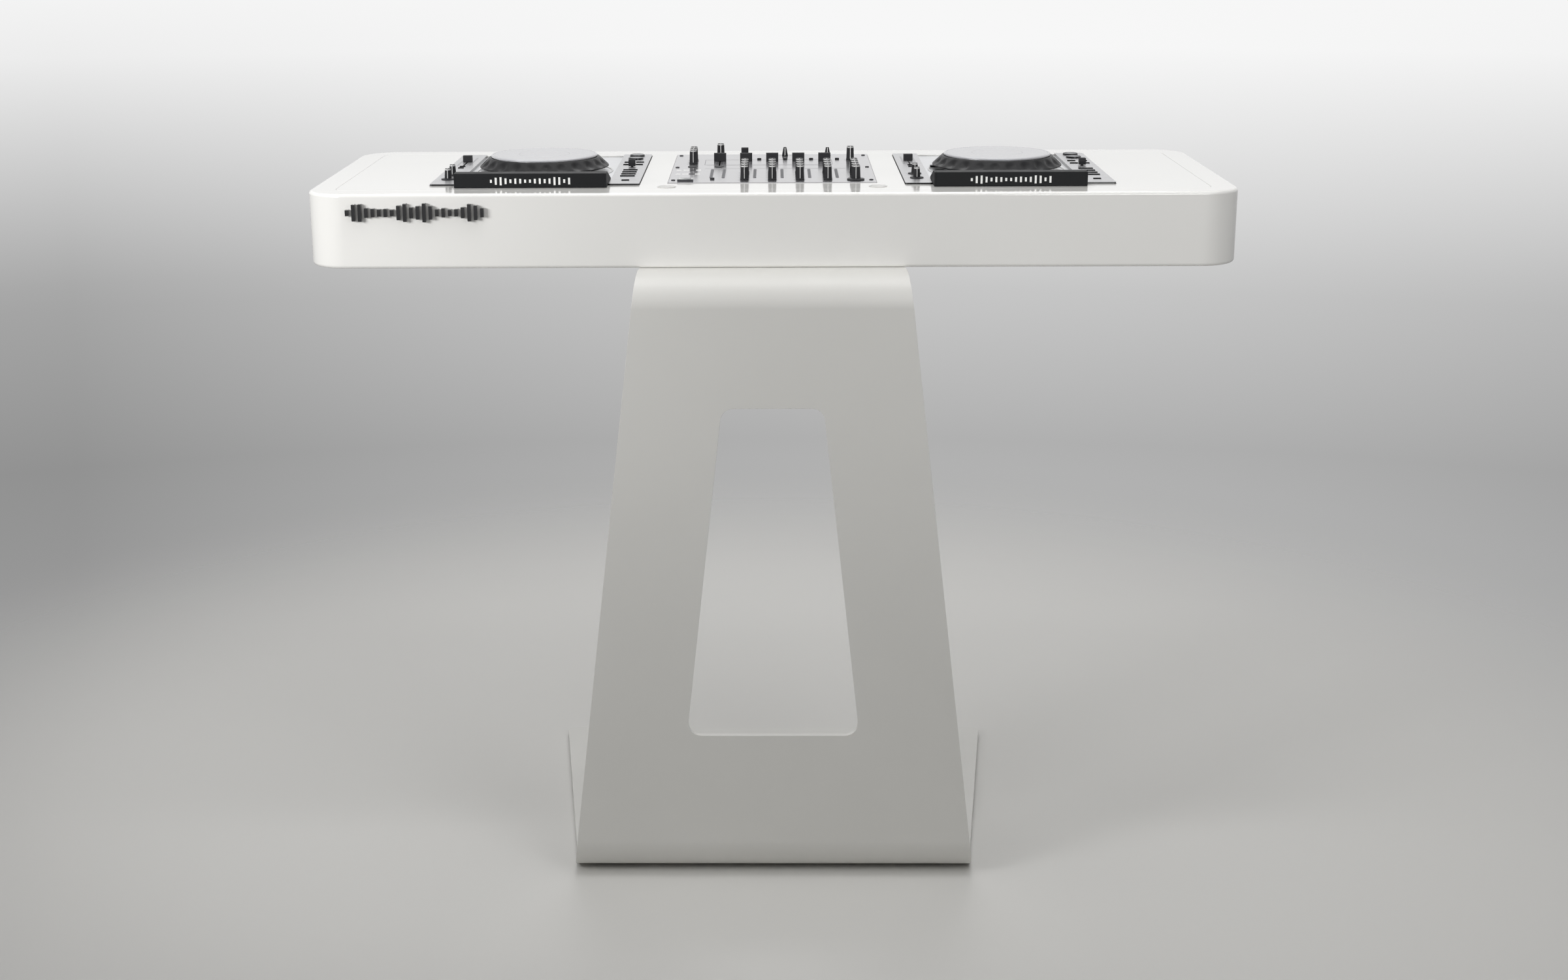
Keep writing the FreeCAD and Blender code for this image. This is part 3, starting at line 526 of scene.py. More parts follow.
# a row of bars whose heights follow a slow and a quick swing
def rowTree():
    tree, given = startTree("row of bars", {
        "Count": "NodeSocketInt", "Step": "NodeSocketVector", "Bar Size": "NodeSocketVector",
        "Least Share": "NodeSocketFloat", "Quick Turn": "NodeSocketFloat", "Slow Turn": "NodeSocketFloat"})
    places = {"Count": given["Count"], "Offset": given["Step"]}
    line = addNode(tree, "GeometryNodeMeshLine", places, mode="OFFSET")
    index = addNode(tree, "GeometryNodeInputIndex").outputs[0]
    steps = {}
    for name, operation, one, two in (
            ("quickAngle", "MULTIPLY", index, given["Quick Turn"]),
            ("slowAngle", "MULTIPLY", index, given["Slow Turn"]),
            ("quick", "SINE", "quickAngle", 0.0), ("slow", "COSINE", "slowAngle", 0.0),
            ("both", "MULTIPLY", "quick", "slow"), ("swing", "ABSOLUTE", "both", 0.0),
            ("spare", "SUBTRACT", 1.0, given["Least Share"]), ("extra", "MULTIPLY", "swing", "spare"),
            ("share", "ADD", "extra", given["Least Share"])):
        values = {0: steps.get(one, one), 1: steps.get(two, two)}
        steps[name] = addNode(tree, "ShaderNodeMath", values, operation=operation).outputs[0]
    height = addNode(tree, "ShaderNodeCombineXYZ", {0: 1.0, 1: 1.0, 2: steps["share"]})
    bar = addNode(tree, "GeometryNodeMeshCube", {"Size": given["Bar Size"]})
    row = addNode(tree, "GeometryNodeInstanceOnPoints", {
        "Points": line.outputs[0], "Instance": bar.outputs[0], "Scale": height.outputs[0]})
    return endTree(tree, given, row.outputs[0])


# marks set round an arc, each pointing outwards
def dialTree():
    tree, given = startTree("dial of marks", {
        "Count": "NodeSocketInt", "Radius": "NodeSocketFloat", "First Angle": "NodeSocketFloat",
        "Sweep": "NodeSocketFloat", "Mark Size": "NodeSocketVector"})
    arc = addNode(tree, "GeometryNodeCurveArc", {
        "Resolution": given["Count"], "Radius": given["Radius"],
        "Start Angle": given["First Angle"], "Sweep Angle": given["Sweep"]})
    index = addNode(tree, "GeometryNodeInputIndex").outputs[0]
    last = addNode(tree, "ShaderNodeMath", {0: given["Count"], 1: 1.0}, operation="SUBTRACT").outputs[0]
    end = addNode(tree, "ShaderNodeMath", {0: given["First Angle"], 1: given["Sweep"]}).outputs[0]
    angle = addNode(tree, "ShaderNodeMapRange", {0: index, 1: 0.0, 2: last, 3: given["First Angle"], 4: end})
    turn = addNode(tree, "ShaderNodeCombineXYZ", {2: angle.outputs[0]})
    mark = addNode(tree, "GeometryNodeMeshCube", {"Size": given["Mark Size"]})
    dial = addNode(tree, "GeometryNodeInstanceOnPoints", {
        "Points": arc.outputs[0], "Instance": mark.outputs[0], "Rotation": turn.outputs[0]})
    return endTree(tree, given, dial.outputs[0])


trees = {"pattern": patternTree(), "row": rowTree(), "dial": dialTree()}


# points carry a place, a turn in radians and a size
def runTree(kind, name, spots, finish, turns=None, sizes=None, **values):
    mesh = bpy.data.meshes.new(name)
    mesh.from_pydata([tuple(s) for s in spots], [], [])
    attributes = {"turn": turns or [(0, 0, 0)] * len(spots), "size": sizes or [(1, 1, 1)] * len(spots)}
    for label, rows in attributes.items():
        layer = mesh.attributes.new(label, "FLOAT_VECTOR", "POINT")
        layer.data.foreach_set("vector", [float(v) for row in rows for v in row])
    piece = bpy.data.objects.new(name, mesh)
    scene.collection.objects.link(piece)
    modifier = piece.modifiers.new("repeat", "NODES")
    modifier.node_group = trees[kind]
    given = {"Finish": finish, **{key.replace("_", " "): value for key, value in values.items()}}
    for item in trees[kind].interface.items_tree:
        if item.in_out == "INPUT" and item.name in given:
            modifier[item.identifier] = given[item.name]
    settle(piece)
    piece.data.materials.clear()  # the tree leaves an empty first slot
    piece.data.materials.append(finish)
    piece.data.polygons.foreach_set("material_index", [0] * len(piece.data.polygons))
    return piece


evenRow = {"Least_Share": 1.0, "Quick_Turn": 0.0, "Slow_Turn": 0.0}  # bars all alike


# one pattern mesh on many spots, with its edges softened afterwards
def repeatPattern(name, bm, spots, finish, node, soften=0, stands=True, angle=35, **rows):
    bmesh.ops.recalc_face_normals(bm, faces=bm.faces)
    pattern = newObject("pattern", bm, [])
    piece = runTree("pattern", name, spots, finish, Pattern=pattern, **rows)
    bpy.data.objects.remove(pattern)
    return dressRow(piece, node, soften, stands, angle)


def dressRow(piece, node, soften=0, stands=False, angle=35):
    if soften:
        softenPiece(piece, soften)
    shadeEvenly(piece, angle)
    return seatPiece(piece, node, stands)


def unitBlock():
    bm = bmesh.new()
    addBox(bm, (-0.5, -0.5, -0.5), (0.5, 0.5, 0.5))
    return bm


def repeatBlocks(name, boxes, finish, node, soften, stands=True):
    spots = [middleOf(box) for box in boxes]
    sizes = [box[1] - box[0] for box in boxes]
    return repeatPattern(name, unitBlock(), spots, finish, node, soften, stands, sizes=sizes)


inkLook = {"height": 0.08, "sink": 0.05}


# a low block of ink or trim on a surface at height z
def inkBox(x, y, width, length, z, height=inkLook["height"]):
    half = Vector((width, length, 0)) * mm / 2
    base = Vector((x, y, z - inkLook["sink"] * mm))
    return base - half, base + half + Vector((0, 0, (height + inkLook["sink"]) * mm))


print("tools ready")


# Slab

slabLook = {
    "cornerRadius": 60.0, "edgeRadius": 5.0, "rim": 40.0, "ledge": 12.0, "insetRadius": 20.0,
    "panelThickness": 18.0, "floorThickness": 22.0, "lipRadius": 0.2, "panelEdge": 0.2,
    "cornerSteps": 18, "edgeSteps": 6, "barEdge": 0.5,
}


def slabRing(bm, box, inset, radius, z):
    x0, x1 = box[0].x + inset * mm, box[1].x - inset * mm
    y0, y1 = box[0].y + inset * mm, box[1].y - inset * mm
    corners = [(x0, y0), (x1, y0), (x1, y1), (x0, y1)]
    outline = softOutline(corners, radius * mm, slabLook["cornerSteps"])
    return [bm.verts.new((p.x, p.y, z)) for p in outline]


def makeSlab():
    look = slabLook
    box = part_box("slab_body")
    low, top = box[0].z, box[1].z
    corner, edge, rim = look["cornerRadius"], look["edgeRadius"], look["rim"]
    lip = look["lipRadius"]
    steps = [math.pi / 2 * i / look["edgeSteps"] for i in range(look["edgeSteps"] + 1)]
    rows = [(edge * (1 - math.sin(a)), corner, low + edge * (1 - math.cos(a)) * mm) for a in steps]
    rows += [(edge * (1 - math.cos(a)), corner, top - edge * (1 - math.sin(a)) * mm) for a in steps]
    rows += [(rim - lip * (1 - math.sin(a)), look["insetRadius"], top - lip * (1 - math.cos(a)) * mm)
             for a in steps[::3]]
    seat = top - look["panelThickness"] * mm
    rows.append((rim, look["insetRadius"], seat))
    rows.append((rim + look["ledge"], look["insetRadius"], seat))
    rows.append((rim + look["ledge"], look["insetRadius"], low + look["floorThickness"] * mm))
    bm = bmesh.new()
    rings = []
    for inset, radius, z in rows:
        outer = radius - inset if inset <= edge else radius
        rings.append(slabRing(bm, box, inset, outer, z))
    addLoft(bm, rings)
    finishPiece("slab_body_visual", bm, [glossLacquer], "slab_body")
    softCopy("slab_top_panel", glossLacquer, look["panelEdge"], 3)


portLook = {"rimWidth": 2.2, "dish": 0.4, "dishSlope": 0.4, "spigotRadius": 10.7, "spigotDepth": 6.0}


def makePortCaps():
    look = portLook
    boxes = solidsOf("port_caps")
    radius = (boxes[0][1].x - boxes[0][0].x) / 2 / mm
    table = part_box("slab_top_panel")[1].z
    rise = (boxes[0][1].z - table) / mm
    inner = radius - look["rimWidth"]
    floor = rise - look["dish"]
    stem, end = look["spigotRadius"], -look["spigotDepth"]
    points = [(0, end), (stem, end), (stem, 0), (radius, 0), (radius, rise), (inner, rise),
              (inner - look["dishSlope"], floor), (0, floor)]
    bm = bmesh.new()
    addSpun(bm, softOutline(points, [0, 0.5, 0, 0.15, 0.3, 0.15, 0.15, 0], 3), Vector(), 64)
    spots = [spotOf(b, table) for b in boxes]
    repeatPattern("port_caps_visual", bm, spots, portPlastic, "port_caps")


def makeFrontBars():
    edge = slabLook["barEdge"]
    repeatBlocks("front_bars_visual", solidsOf("front_bars"), blackAcrylic, "front_bars", edge)


makeSlab()
makePortCaps()
makeFrontBars()
print("slab made")


# Stand

sheetLook = {
    "thickness": 8.0, "footBend": 60.0, "flangeBend": 52.0, "flangeLength": 460.0, "footHalf": 318.5,
    "taper": 0.119, "cornerRadius": 16.0, "edge": 0.9, "bendSteps": 20, "cornerSteps": 8,
    "sill": 244.0, "windowHeight": 526.0, "windowFootHalf": 134.8, "windowHeadHalf": 76.6,
    "windowRadius": 20.0, "windowReach": 30.0,
}


# stations along the sheet: outer and inner edge points in y and z, and half the width at each
def sheetStations():
    look = sheetLook
    low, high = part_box("pedestal")
    panel, footEnd, floor, head = low.y / mm, high.y / mm, low.z / mm, high.z / mm
    thick, footBend, headBend = look["thickness"], look["footBend"], look["flangeBend"]
    footStart, flangeStart = panel + footBend, panel + headBend
    flangeEnd = panel + look["flangeLength"]

    def uprightHalf(z):
        return look["footHalf"] - look["taper"] * (z - floor)

    # the flat sheet's straight sides, followed round the bend
    def bentHalf(turn):
        return uprightHalf(head - headBend) - look["taper"] * headBend * turn

    def runHalf(y, start, end, half, slope):
        bite = max(0, y - (end - look["cornerRadius"]))
        radius = look["cornerRadius"]
        return half + slope * (y - start) - radius + math.sqrt(max(0, radius ** 2 - bite ** 2))

    corner = [look["cornerRadius"] * math.sin(math.pi / 2 * i / look["cornerSteps"])
              for i in range(look["cornerSteps"] + 1)]
    rows = []
    for step in reversed(corner):
        y = footEnd - look["cornerRadius"] + step
        half = runHalf(y, footStart, footEnd, look["footHalf"], look["taper"])
        rows.append((y, floor, y, floor + thick, half, half))
    turns = [math.pi / 2 * i / look["bendSteps"] for i in range(look["bendSteps"] + 1)]
    for a in turns:
        outer = (footStart - footBend * math.sin(a), floor + footBend * (1 - math.cos(a)))
        reach = footBend - thick
        inner = (footStart - reach * math.sin(a), floor + footBend - reach * math.cos(a))
        rows.append((*outer, *inner, uprightHalf(outer[1]), uprightHalf(inner[1])))
    for a in turns:
        outer = (flangeStart - headBend * math.cos(a), head - headBend * (1 - math.sin(a)))
        reach = headBend - thick
        inner = (flangeStart - reach * math.cos(a), head - headBend + reach * math.sin(a))
        rows.append((*outer, *inner, bentHalf(a), bentHalf(a)))
    for step in corner:
        y = flangeEnd - look["cornerRadius"] + step
        half = runHalf(y, flangeStart, flangeEnd, bentHalf(math.pi / 2), -look["taper"])
        rows.append((y, head, y, head - thick, half, half))
    return rows


def makeStand():
    look = sheetLook
    bm = bmesh.new()
    rings = []
    for yOut, zOut, yIn, zIn, halfOut, halfIn in sheetStations():
        corners = [(-halfOut, yOut, zOut), (halfOut, yOut, zOut), (halfIn, yIn, zIn), (-halfIn, yIn, zIn)]
        rings.append([bm.verts.new(Vector(c) * mm) for c in corners])
    addLoft(bm, rings)
    bmesh.ops.recalc_face_normals(bm, faces=bm.faces)
    sheet = newObject("pedestal_visual", bm, [powderCoat])
    head = look["sill"] + look["windowHeight"]
    points = [(-look["windowFootHalf"], look["sill"]), (look["windowFootHalf"], look["sill"]),
              (look["windowHeadHalf"], head), (-look["windowHeadHalf"], head)]
    outline = [p * mm for p in softOutline(points, look["windowRadius"], 10)]
    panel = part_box("pedestal")[0].y
    reach = look["windowReach"] * mm
    bm = bmesh.new()
    addPrism(bm, outline, "y", panel - reach, panel + reach)
    cutAway(sheet, bm)
    softenPiece(sheet, look["edge"], 3, 50)
    shadeEvenly(sheet, 40)
    seatPiece(sheet, "pedestal")


boltLook = {
    "headRadius": 8.0, "headHeight": 5.0, "crownShare": 0.55, "shoulderShare": 0.92, "rim": 0.6,
    "shankRadius": 4.0, "shankLength": 22.0, "socket": 2.6, "socketDepth": 2.6, "socketGrowth": 1.08,
}


# button heads with a hexagon socket, looking down from under the flange
def makeBolts():
    look = boltLook
    head, shank, socket = look["headRadius"], look["shankRadius"], look["socket"]
    crown, end = -look["headHeight"], look["shankLength"]
    recess = crown + look["socketDepth"]
    sixth = math.pi / 6

    def hexagon(angle, radius, height):
        if radius > socket + 0.01 or height > 0:
            return radius, height
        flat = math.cos(sixth) / math.cos(angle % (2 * sixth) - sixth)
        return radius * flat * look["socketGrowth"], height

    points = [(0, recess), (socket, recess), (socket, crown), (head * look["crownShare"], crown),
              (head * look["shoulderShare"], crown / 2), (head, -look["rim"]), (head, 0), (shank, 0),
              (shank, end), (0, end)]
    outline = softOutline(points, [0, 0, 0.2, 1.5, 2.0, 0.3, 0, 0, 0.6, 0], 3)
    bm = bmesh.new()
    addSpun(bm, outline, Vector(), 48, 0, hexagon)
    boxes = solidsOf("pedestal_bolts")
    spots = [spotOf(b, b[0].z + look["headHeight"] * mm) for b in boxes]
    repeatPattern("pedestal_bolts_visual", bm, spots, zincSteel, "pedestal_bolts")


def makeGlides():
    boxes = solidsOf("floor_glides")
    radius = (boxes[0][1].x - boxes[0][0].x) / 2 / mm
    height = boxes[0][1].z / mm
    points = [(0, 0), (radius - 1.2, 0), (radius, height * 0.5), (radius, height), (0, height)]
    bm = bmesh.new()
    addSpun(bm, softOutline(points, [0, 0.8, 0.8, 0.2, 0], 3), Vector(), 48)
    spots = [spotOf(b, 0) for b in boxes]
    repeatPattern("floor_glides_visual", bm, spots, glideRubber, "floor_glides")


makeStand()
makeBolts()
makeGlides()
print("stand made")


# Players

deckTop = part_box("player_decks")[1].z
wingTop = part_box("player_wing_plates")[1].z
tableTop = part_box("slab_body")[1].z

plateLook = {"deckEdge": 0.6, "wingEdge": 0.4, "plateEdge": 0.35, "wellRadius": 107.0, "wellWidth": 3.0,
             "wellHeight": 0.9}
slotLook = {"fromHoodEnd": 22.0, "y": 56.0, "width": 26.0, "length": 14.0, "height": 1.6, "rim": 1.8,
            "rise": 3.0, "edge": 0.3}


def makePlayerPlates():
    softCopy("player_decks", silverPaint, plateLook["deckEdge"])
    bm = copyOf("player_wing_plates")
    softenEdges(bm, plateLook["wingEdge"])
    bm.normal_update()
    paintFaces(bm, 1, lambda centre, normal: normal.z < 0.6)
    finishPiece("player_wing_plates_visual", bm, [brushedWing, glossPlastic], "player_wing_plates")
    low = plateLook["wellRadius"]
    rim = low + plateLook["wellWidth"]
    rise = plateLook["wellHeight"]
    points = [(low, -0.1), (rim, -0.1), (rim, rise), (low, rise)]
    outline = softOutline(points, [0, 0, 0.4, 0.4], 3)
    bm = bmesh.new()
    for side in sides:
        addSpun(bm, outline + outline[:1], spotOf(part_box(side + "_jog_ring"), deckTop), 96)
    bmesh.ops.remove_doubles(bm, verts=bm.verts, dist=1e-7)
    finishPiece("jog_wells", bm, [lightCap], "player_decks", False)
    frames = []
    slots = []
    look = slotLook
    for box in solidsOf("player_hoods"):
        spot = (box[0].x + look["fromHoodEnd"] * mm, look["y"] * mm)
        frames.append(inkBox(*spot, look["width"], look["length"], deckTop, look["height"]))
        inner = (look["width"] - 2 * look["rim"], look["length"] - 2 * look["rim"])
        slots.append(inkBox(*spot, *inner, deckTop, look["height"] + look["rise"]))
    repeatBlocks("card_slot_frames", frames, lightCap, "player_decks", look["edge"], False)
    repeatBlocks("card_slot_doors", slots, hoodPlastic, "player_decks", look["edge"], False)


hoodLook = {"topLength": 23.0, "lipHeight": 4.0, "seat": 0.3, "step": 1.5, "overhang": 28.0, "edge": 1.3,
            "capThickness": 3.2, "capGap": 0.12, "capEdge": 0.25}


# side outline of a hood in y and z, with its long edges rounded
def hoodOutline(box):
    look = hoodLook
    near, far, top = box[0].y, box[1].y, box[1].z
    player = near + (look["overhang"] + look["step"]) * mm
    floor = tableTop + look["seat"] * mm
    points = [(near, floor), (player, floor), (player, deckTop), (far, deckTop),
              (far, tableTop + look["lipHeight"] * mm), (near + look["topLength"] * mm, top), (near, top)]
    edge = look["edge"] * mm
    return softOutline(points, [edge / 2, 0, 0, 0, edge, edge, edge], 4)


# the body between two thin end caps, a hairline apart
def makeHoods():
    bodies = bmesh.new()
    caps = bmesh.new()
    look = hoodLook
    for box in solidsOf("player_hoods"):
        x0, x1 = box[0].x, box[1].x
        cap = look["capThickness"] * mm
        gap = look["capGap"] * mm
        addPrism(bodies, hoodOutline(box), "x", x0 + cap, x1 - cap)
        for start, end in ((x0, x0 + cap - gap), (x1 - cap + gap, x1)):
            addPrism(caps, hoodOutline(box), "x", start, end)
    softenEdges(caps, look["capEdge"], 3, 60)
    finishPiece("player_hoods_visual", bodies, [hoodPlastic], "player_hoods")
    finishPiece("hood_end_caps", caps, [hoodPlastic], "player_hoods", False)


badgeLook = {"count": 17, "pitch": 7.4, "width": 3.0, "tallest": 13.0, "proud": 0.25, "least": 0.35,
             "quickTurn": 0.83, "slowTurn": 0.21, "drop": 11.5}


# plain level bars on the audience's side of the hoods
def makeBadges():
    look = badgeLook
    spots = []
    for box in solidsOf("player_hoods"):
        first = middleOf(box).x - look["pitch"] * (look["count"] - 1) / 2 * mm
        spots.append(Vector((first, box[0].y, box[1].z - look["drop"] * mm)))
    piece = runTree(
        "row", "hood_level_bars", spots, whiteInk, Count=look["count"], Step=(look["pitch"] * mm, 0, 0),
        Bar_Size=(look["width"] * mm, 2 * look["proud"] * mm, look["tallest"] * mm),
        Least_Share=look["least"], Quick_Turn=look["quickTurn"], Slow_Turn=look["slowTurn"])
    dressRow(piece, "player_hoods", 0.08)


screenLook = {"edge": 0.35, "waveCount": 58, "wavePitch": 2.8, "waveWidth": 1.3, "waveTallest": 12.0,
              "waveLeast": 0.12, "quickTurn": 0.71, "slowTurn": 0.09, "proud": 0.15, "lift": 0.62,
              "fieldHeight": 2.2,
              "fields": ((0.33, 150, 0), (-0.32, 44, -50), (-0.32, 30, 8), (-0.32, 30, 52))}


# waveform, progress line and plain fields on the sloping glass
def makeScreens():
    look = screenLook
    softCopy("player_screens", smokedGlass, look["edge"])
    spots = []
    fields = []
    boxes = solidsOf("player_screens")
    run = boxes[0][1].y - boxes[0][0].y
    hood = solidsOf("player_hoods")[0]
    fall = hood[1].z - tableTop - hoodLook["lipHeight"] * mm
    slope = math.atan2(fall, hood[1].y - hood[0].y - hoodLook["topLength"] * mm)
    for box in boxes:
        middle = middleOf(box)
        length = look["wavePitch"] * (look["waveCount"] - 1) * mm
        out = Vector((0, math.sin(slope), math.cos(slope))) * look["lift"] * mm
        spots.append(middle + out + Vector((-length / 2, 0, 0)))
        for share, width, shift in look["fields"]:  # share of the run, length, place across
            along = Vector((0, math.cos(slope), -math.sin(slope))) * (run * share)
            fields.append((middle + out + along + Vector((shift * mm, 0, 0)), width))
    lean = math.pi / 2 - slope  # the bars stand upright before they are laid on the glass
    piece = runTree(
        "row", "screen_waveforms", spots, litPixels, [(lean, 0, 0)] * len(spots), Count=look["waveCount"],
        Step=(look["wavePitch"] * mm, 0, 0), Least_Share=look["waveLeast"], Quick_Turn=look["quickTurn"],
        Slow_Turn=look["slowTurn"],
        Bar_Size=(look["waveWidth"] * mm, 2 * look["proud"] * mm, look["waveTallest"] * mm))
    dressRow(piece, "player_screens")
    sizes = [(width * mm, look["fieldHeight"] * mm, 2 * look["proud"] * mm) for _, width in fields]
    places = [spot for spot, _ in fields]
    turns = [(-slope, 0, 0)] * len(fields)
    repeatPattern("screen_fields", unitBlock(), places, litPixels, "player_screens", 0, False,
                  turns=turns, sizes=sizes)


makePlayerPlates()
makeHoods()
makeBadges()
makeScreens()
print("players made")


# Jog wheels

jogLook = {
    "lipRadius": 103.0, "lipHeight": 10.0, "lipEdge": 1.5, "neckRadius": 90.0, "neckHeight": 5.0, "wall": 4.0,
    "topRadius": 88.0, "height": 24.0, "web": 6.0, "hubRadius": 20.0, "bore": 12.05, "gap": 0.3,
    "dimples": 24, "dimpleRadius": 10.8, "dimpleDepth": 2.8, "dimplePlace": 0.45, "coneSteps": 16,
    "steps": 336, "discRadius": 85.0, "discHeight": 4.0, "discEdge": 1.2, "discLift": 1.1, "undercut": 2.5,
    "ringRadius": 40.0, "ringWidth": 0.9, "ringDepth": 0.4, "rimRadius": 80.5, "discSteps": 160,
}


def jogOutline():
    look = jogLook
    web = look["height"] - look["web"]
    inside = look["neckRadius"] - look["wall"]
    under = [(0, web), (look["bore"], web), (look["bore"], look["gap"]), (look["hubRadius"], look["gap"]),
             (look["hubRadius"], web), (inside, web), (inside, look["neckHeight"]),
             (look["neckRadius"], look["neckHeight"]),
             (look["lipRadius"], look["lipHeight"] - look["lipEdge"]), (look["lipRadius"], look["lipHeight"]),
             (look["topRadius"], look["height"]), (0, look["height"])]
    rounded = softOutline(under, [0, 0, 0, 0, 0, 0, 0.5, 1.0, 0.7, 0.7, 1.6, 0], 3)
    outline = []
    for one, two in zip(rounded, rounded[1:]):
        outline.append(one)
        leaning = two.y > one.y and two.x < one.x and one.x > look["neckRadius"] - 3
        if leaning and (two - one).length > look["dimpleRadius"]:
            outline += [one.lerp(two, i / look["coneSteps"]) for i in range(1, look["coneSteps"])]
    return [(p.x, p.y) for p in outline] + [(0, look["height"])]


# finger dimples pressed into the sloping side of the ring
def dimpleShape(angle, radius, height):
    look = jogLook
    low, high = look["lipHeight"], look["height"]
    if not low - 0.2 < height < high - 0.2 or radius < look["topRadius"] - 1:
        return radius, height
    spacing = 2 * math.pi / look["dimples"]
    across = ((angle % spacing) - spacing / 2) * (look["lipRadius"] + look["topRadius"]) / 2
    lean = look["lipRadius"] - look["topRadius"]
    slant = math.hypot(lean, high - low)
    along = ((height - low) / (high - low) - look["dimplePlace"]) * slant
    share = (across ** 2 + along ** 2) / look["dimpleRadius"] ** 2
    if share >= 1:
        return radius, height
    sink = look["dimpleDepth"] * (1 - share) ** 2
    return radius - sink * (high - low) / slant, height - sink * lean / slant


def discOutline():
    look = jogLook
    top, ring, deep = look["discHeight"], look["ringWidth"], look["ringDepth"]
    neck = look["discRadius"] - look["undercut"]
    points = [(0, 0), (neck, 0), (neck, look["discLift"]), (look["discRadius"], look["discLift"]),
              (look["discRadius"], top - look["discEdge"]), (look["discRadius"] - look["discEdge"], top)]
    for radius in (look["rimRadius"], look["ringRadius"]):
        points += [(radius + ring, top), (radius + ring * 0.7, top - deep), (radius + ring * 0.3, top - deep),
                   (radius, top)]
    points.append((0, top))
    return softOutline(points, [0, 0, 0, 0.2, 0.6, 0.6] + [0.1] * 8 + [0], 3)


def makeJogs():
    look = jogLook
    for side in sides:
        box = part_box(side + "_jog_ring")
        bm = bmesh.new()
        addSpun(bm, jogOutline(), spotOf(box, deckTop), look["steps"], 0, dimpleShape)
        finishPiece(side + "_jog_ring_visual", bm, [jogPlastic], side + "_jog_ring", angle=50)
        foot = spotOf(box, deckTop + look["height"] * mm)
        bm = bmesh.new()
        addSpun(bm, discOutline(), foot, look["discSteps"])
        finishPiece(side + "_jog_disc_visual", bm, [pearlAcrylic], side + "_jog_disc")


makeJogs()
print("jog wheels made")


# Knobs and caps

knobLook = {
    "mixer": {"radius": 6.3, "topRadius": 5.7, "height": 23.0, "skirtRadius": 6.8, "skirt": 2.0,
               "flutes": 20},
    "phones": {"radius": 7.3, "topRadius": 6.6, "height": 23.0, "skirtRadius": 13.5, "skirt": 1.6,
               "flutes": 24},
    "speed": {"radius": 5.4, "topRadius": 4.6, "height": 17.0, "skirtRadius": 10.5, "skirt": 1.2,
               "flutes": 16},
}
knobTrim = {"gap": 0.3, "ringHeight": 1.5, "lidHeight": 0.7, "lidInset": 0.35, "fluteDepth": 0.32,
            "proud": 0.35, "pointerWidth": 1.0, "steps": 120, "stemRadius": 3.0, "stemDepth": 3.0}


# fluted side, a light ring under a dark lid, white pointer on the audience's side
def addKnob(bm, foot, kind):
    size, trim = knobLook[kind], knobTrim
    low, top, crown = trim["gap"], size["height"], size["topRadius"]
    skirt = low + size["skirt"]
    ringTop = top - trim["lidHeight"]
    ringFoot = ringTop - trim["ringHeight"]

    def flute(angle, radius, height):
        if skirt + 0.4 < height < ringFoot - 0.1 and radius > crown - 0.4:
            return radius - trim["fluteDepth"] * abs(math.sin(angle * size["flutes"] / 2)), height
        return radius, height

    side = [(0, -trim["stemDepth"]), (trim["stemRadius"], -trim["stemDepth"]), (trim["stemRadius"], low),
            (size["skirtRadius"], low), (size["skirtRadius"], skirt), (size["radius"], skirt + 0.3),
            (size["radius"], skirt + 0.8), (crown, ringFoot - 0.2), (crown - 0.2, ringFoot), (0, ringFoot)]
    addSpun(bm, softOutline(side, [0, 0, 0, 0.2, 0.4, 0.2, 0, 0, 0.1, 0], 2), foot, trim["steps"], 0, flute)
    ring = [(0, ringFoot - 0.1), (crown - 0.05, ringFoot - 0.1), (crown - 0.2, ringTop), (0, ringTop)]
    addSpun(bm, softOutline(ring, [0, 0, 0.2, 0], 2), foot, 40, 1)
    edge = crown - trim["lidInset"]
    lid = [(0, ringTop - 0.1), (edge, ringTop - 0.1), (edge, top - 0.1), (0, top - 0.1)]
    addSpun(bm, softOutline(lid, [0, 0, 0.4, 0], 3), foot, 40)
    half = trim["pointerWidth"] / 2 * mm
    proud = trim["proud"]
    outline = [(-size["radius"] - proud, skirt + 0.9), (-crown - proud, ringTop), (-edge, top), (-1.2, top),
               (-1.2, top - 0.4), (-crown + 1.2, ringTop - 0.3), (-size["radius"] + 1.0, skirt + 0.9)]
    addSlice(bm, outline, foot, half, 2)


def makeKnob(node, surface, kind):
    bm = bmesh.new()
    addKnob(bm, spotOf(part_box(node), surface), kind)
    finishPiece(node + "_visual", bm, [softRubber, lightCap, lightCap], node, angle=40)


faderLook = {
    "mixer": {"width": 20.0, "length": 11.0, "height": 13.5, "blade": 7.0},
    "tempo": {"width": 15.0, "length": 10.0, "height": 10.5, "blade": 4.1},
}
faderTrim = {"gap": 0.3, "topShare": 0.8, "groove": 1.8, "grooveHalf": 1.9, "lineHalf": 0.45, "edge": 0.3,
             "bladeWidth": 1.6, "bladeLength": 5.0, "bladeTop": 0.6, "lineInset": 0.6, "lineLift": 0.55,
             "lineSink": 0.6, "lineProud": 0.12}


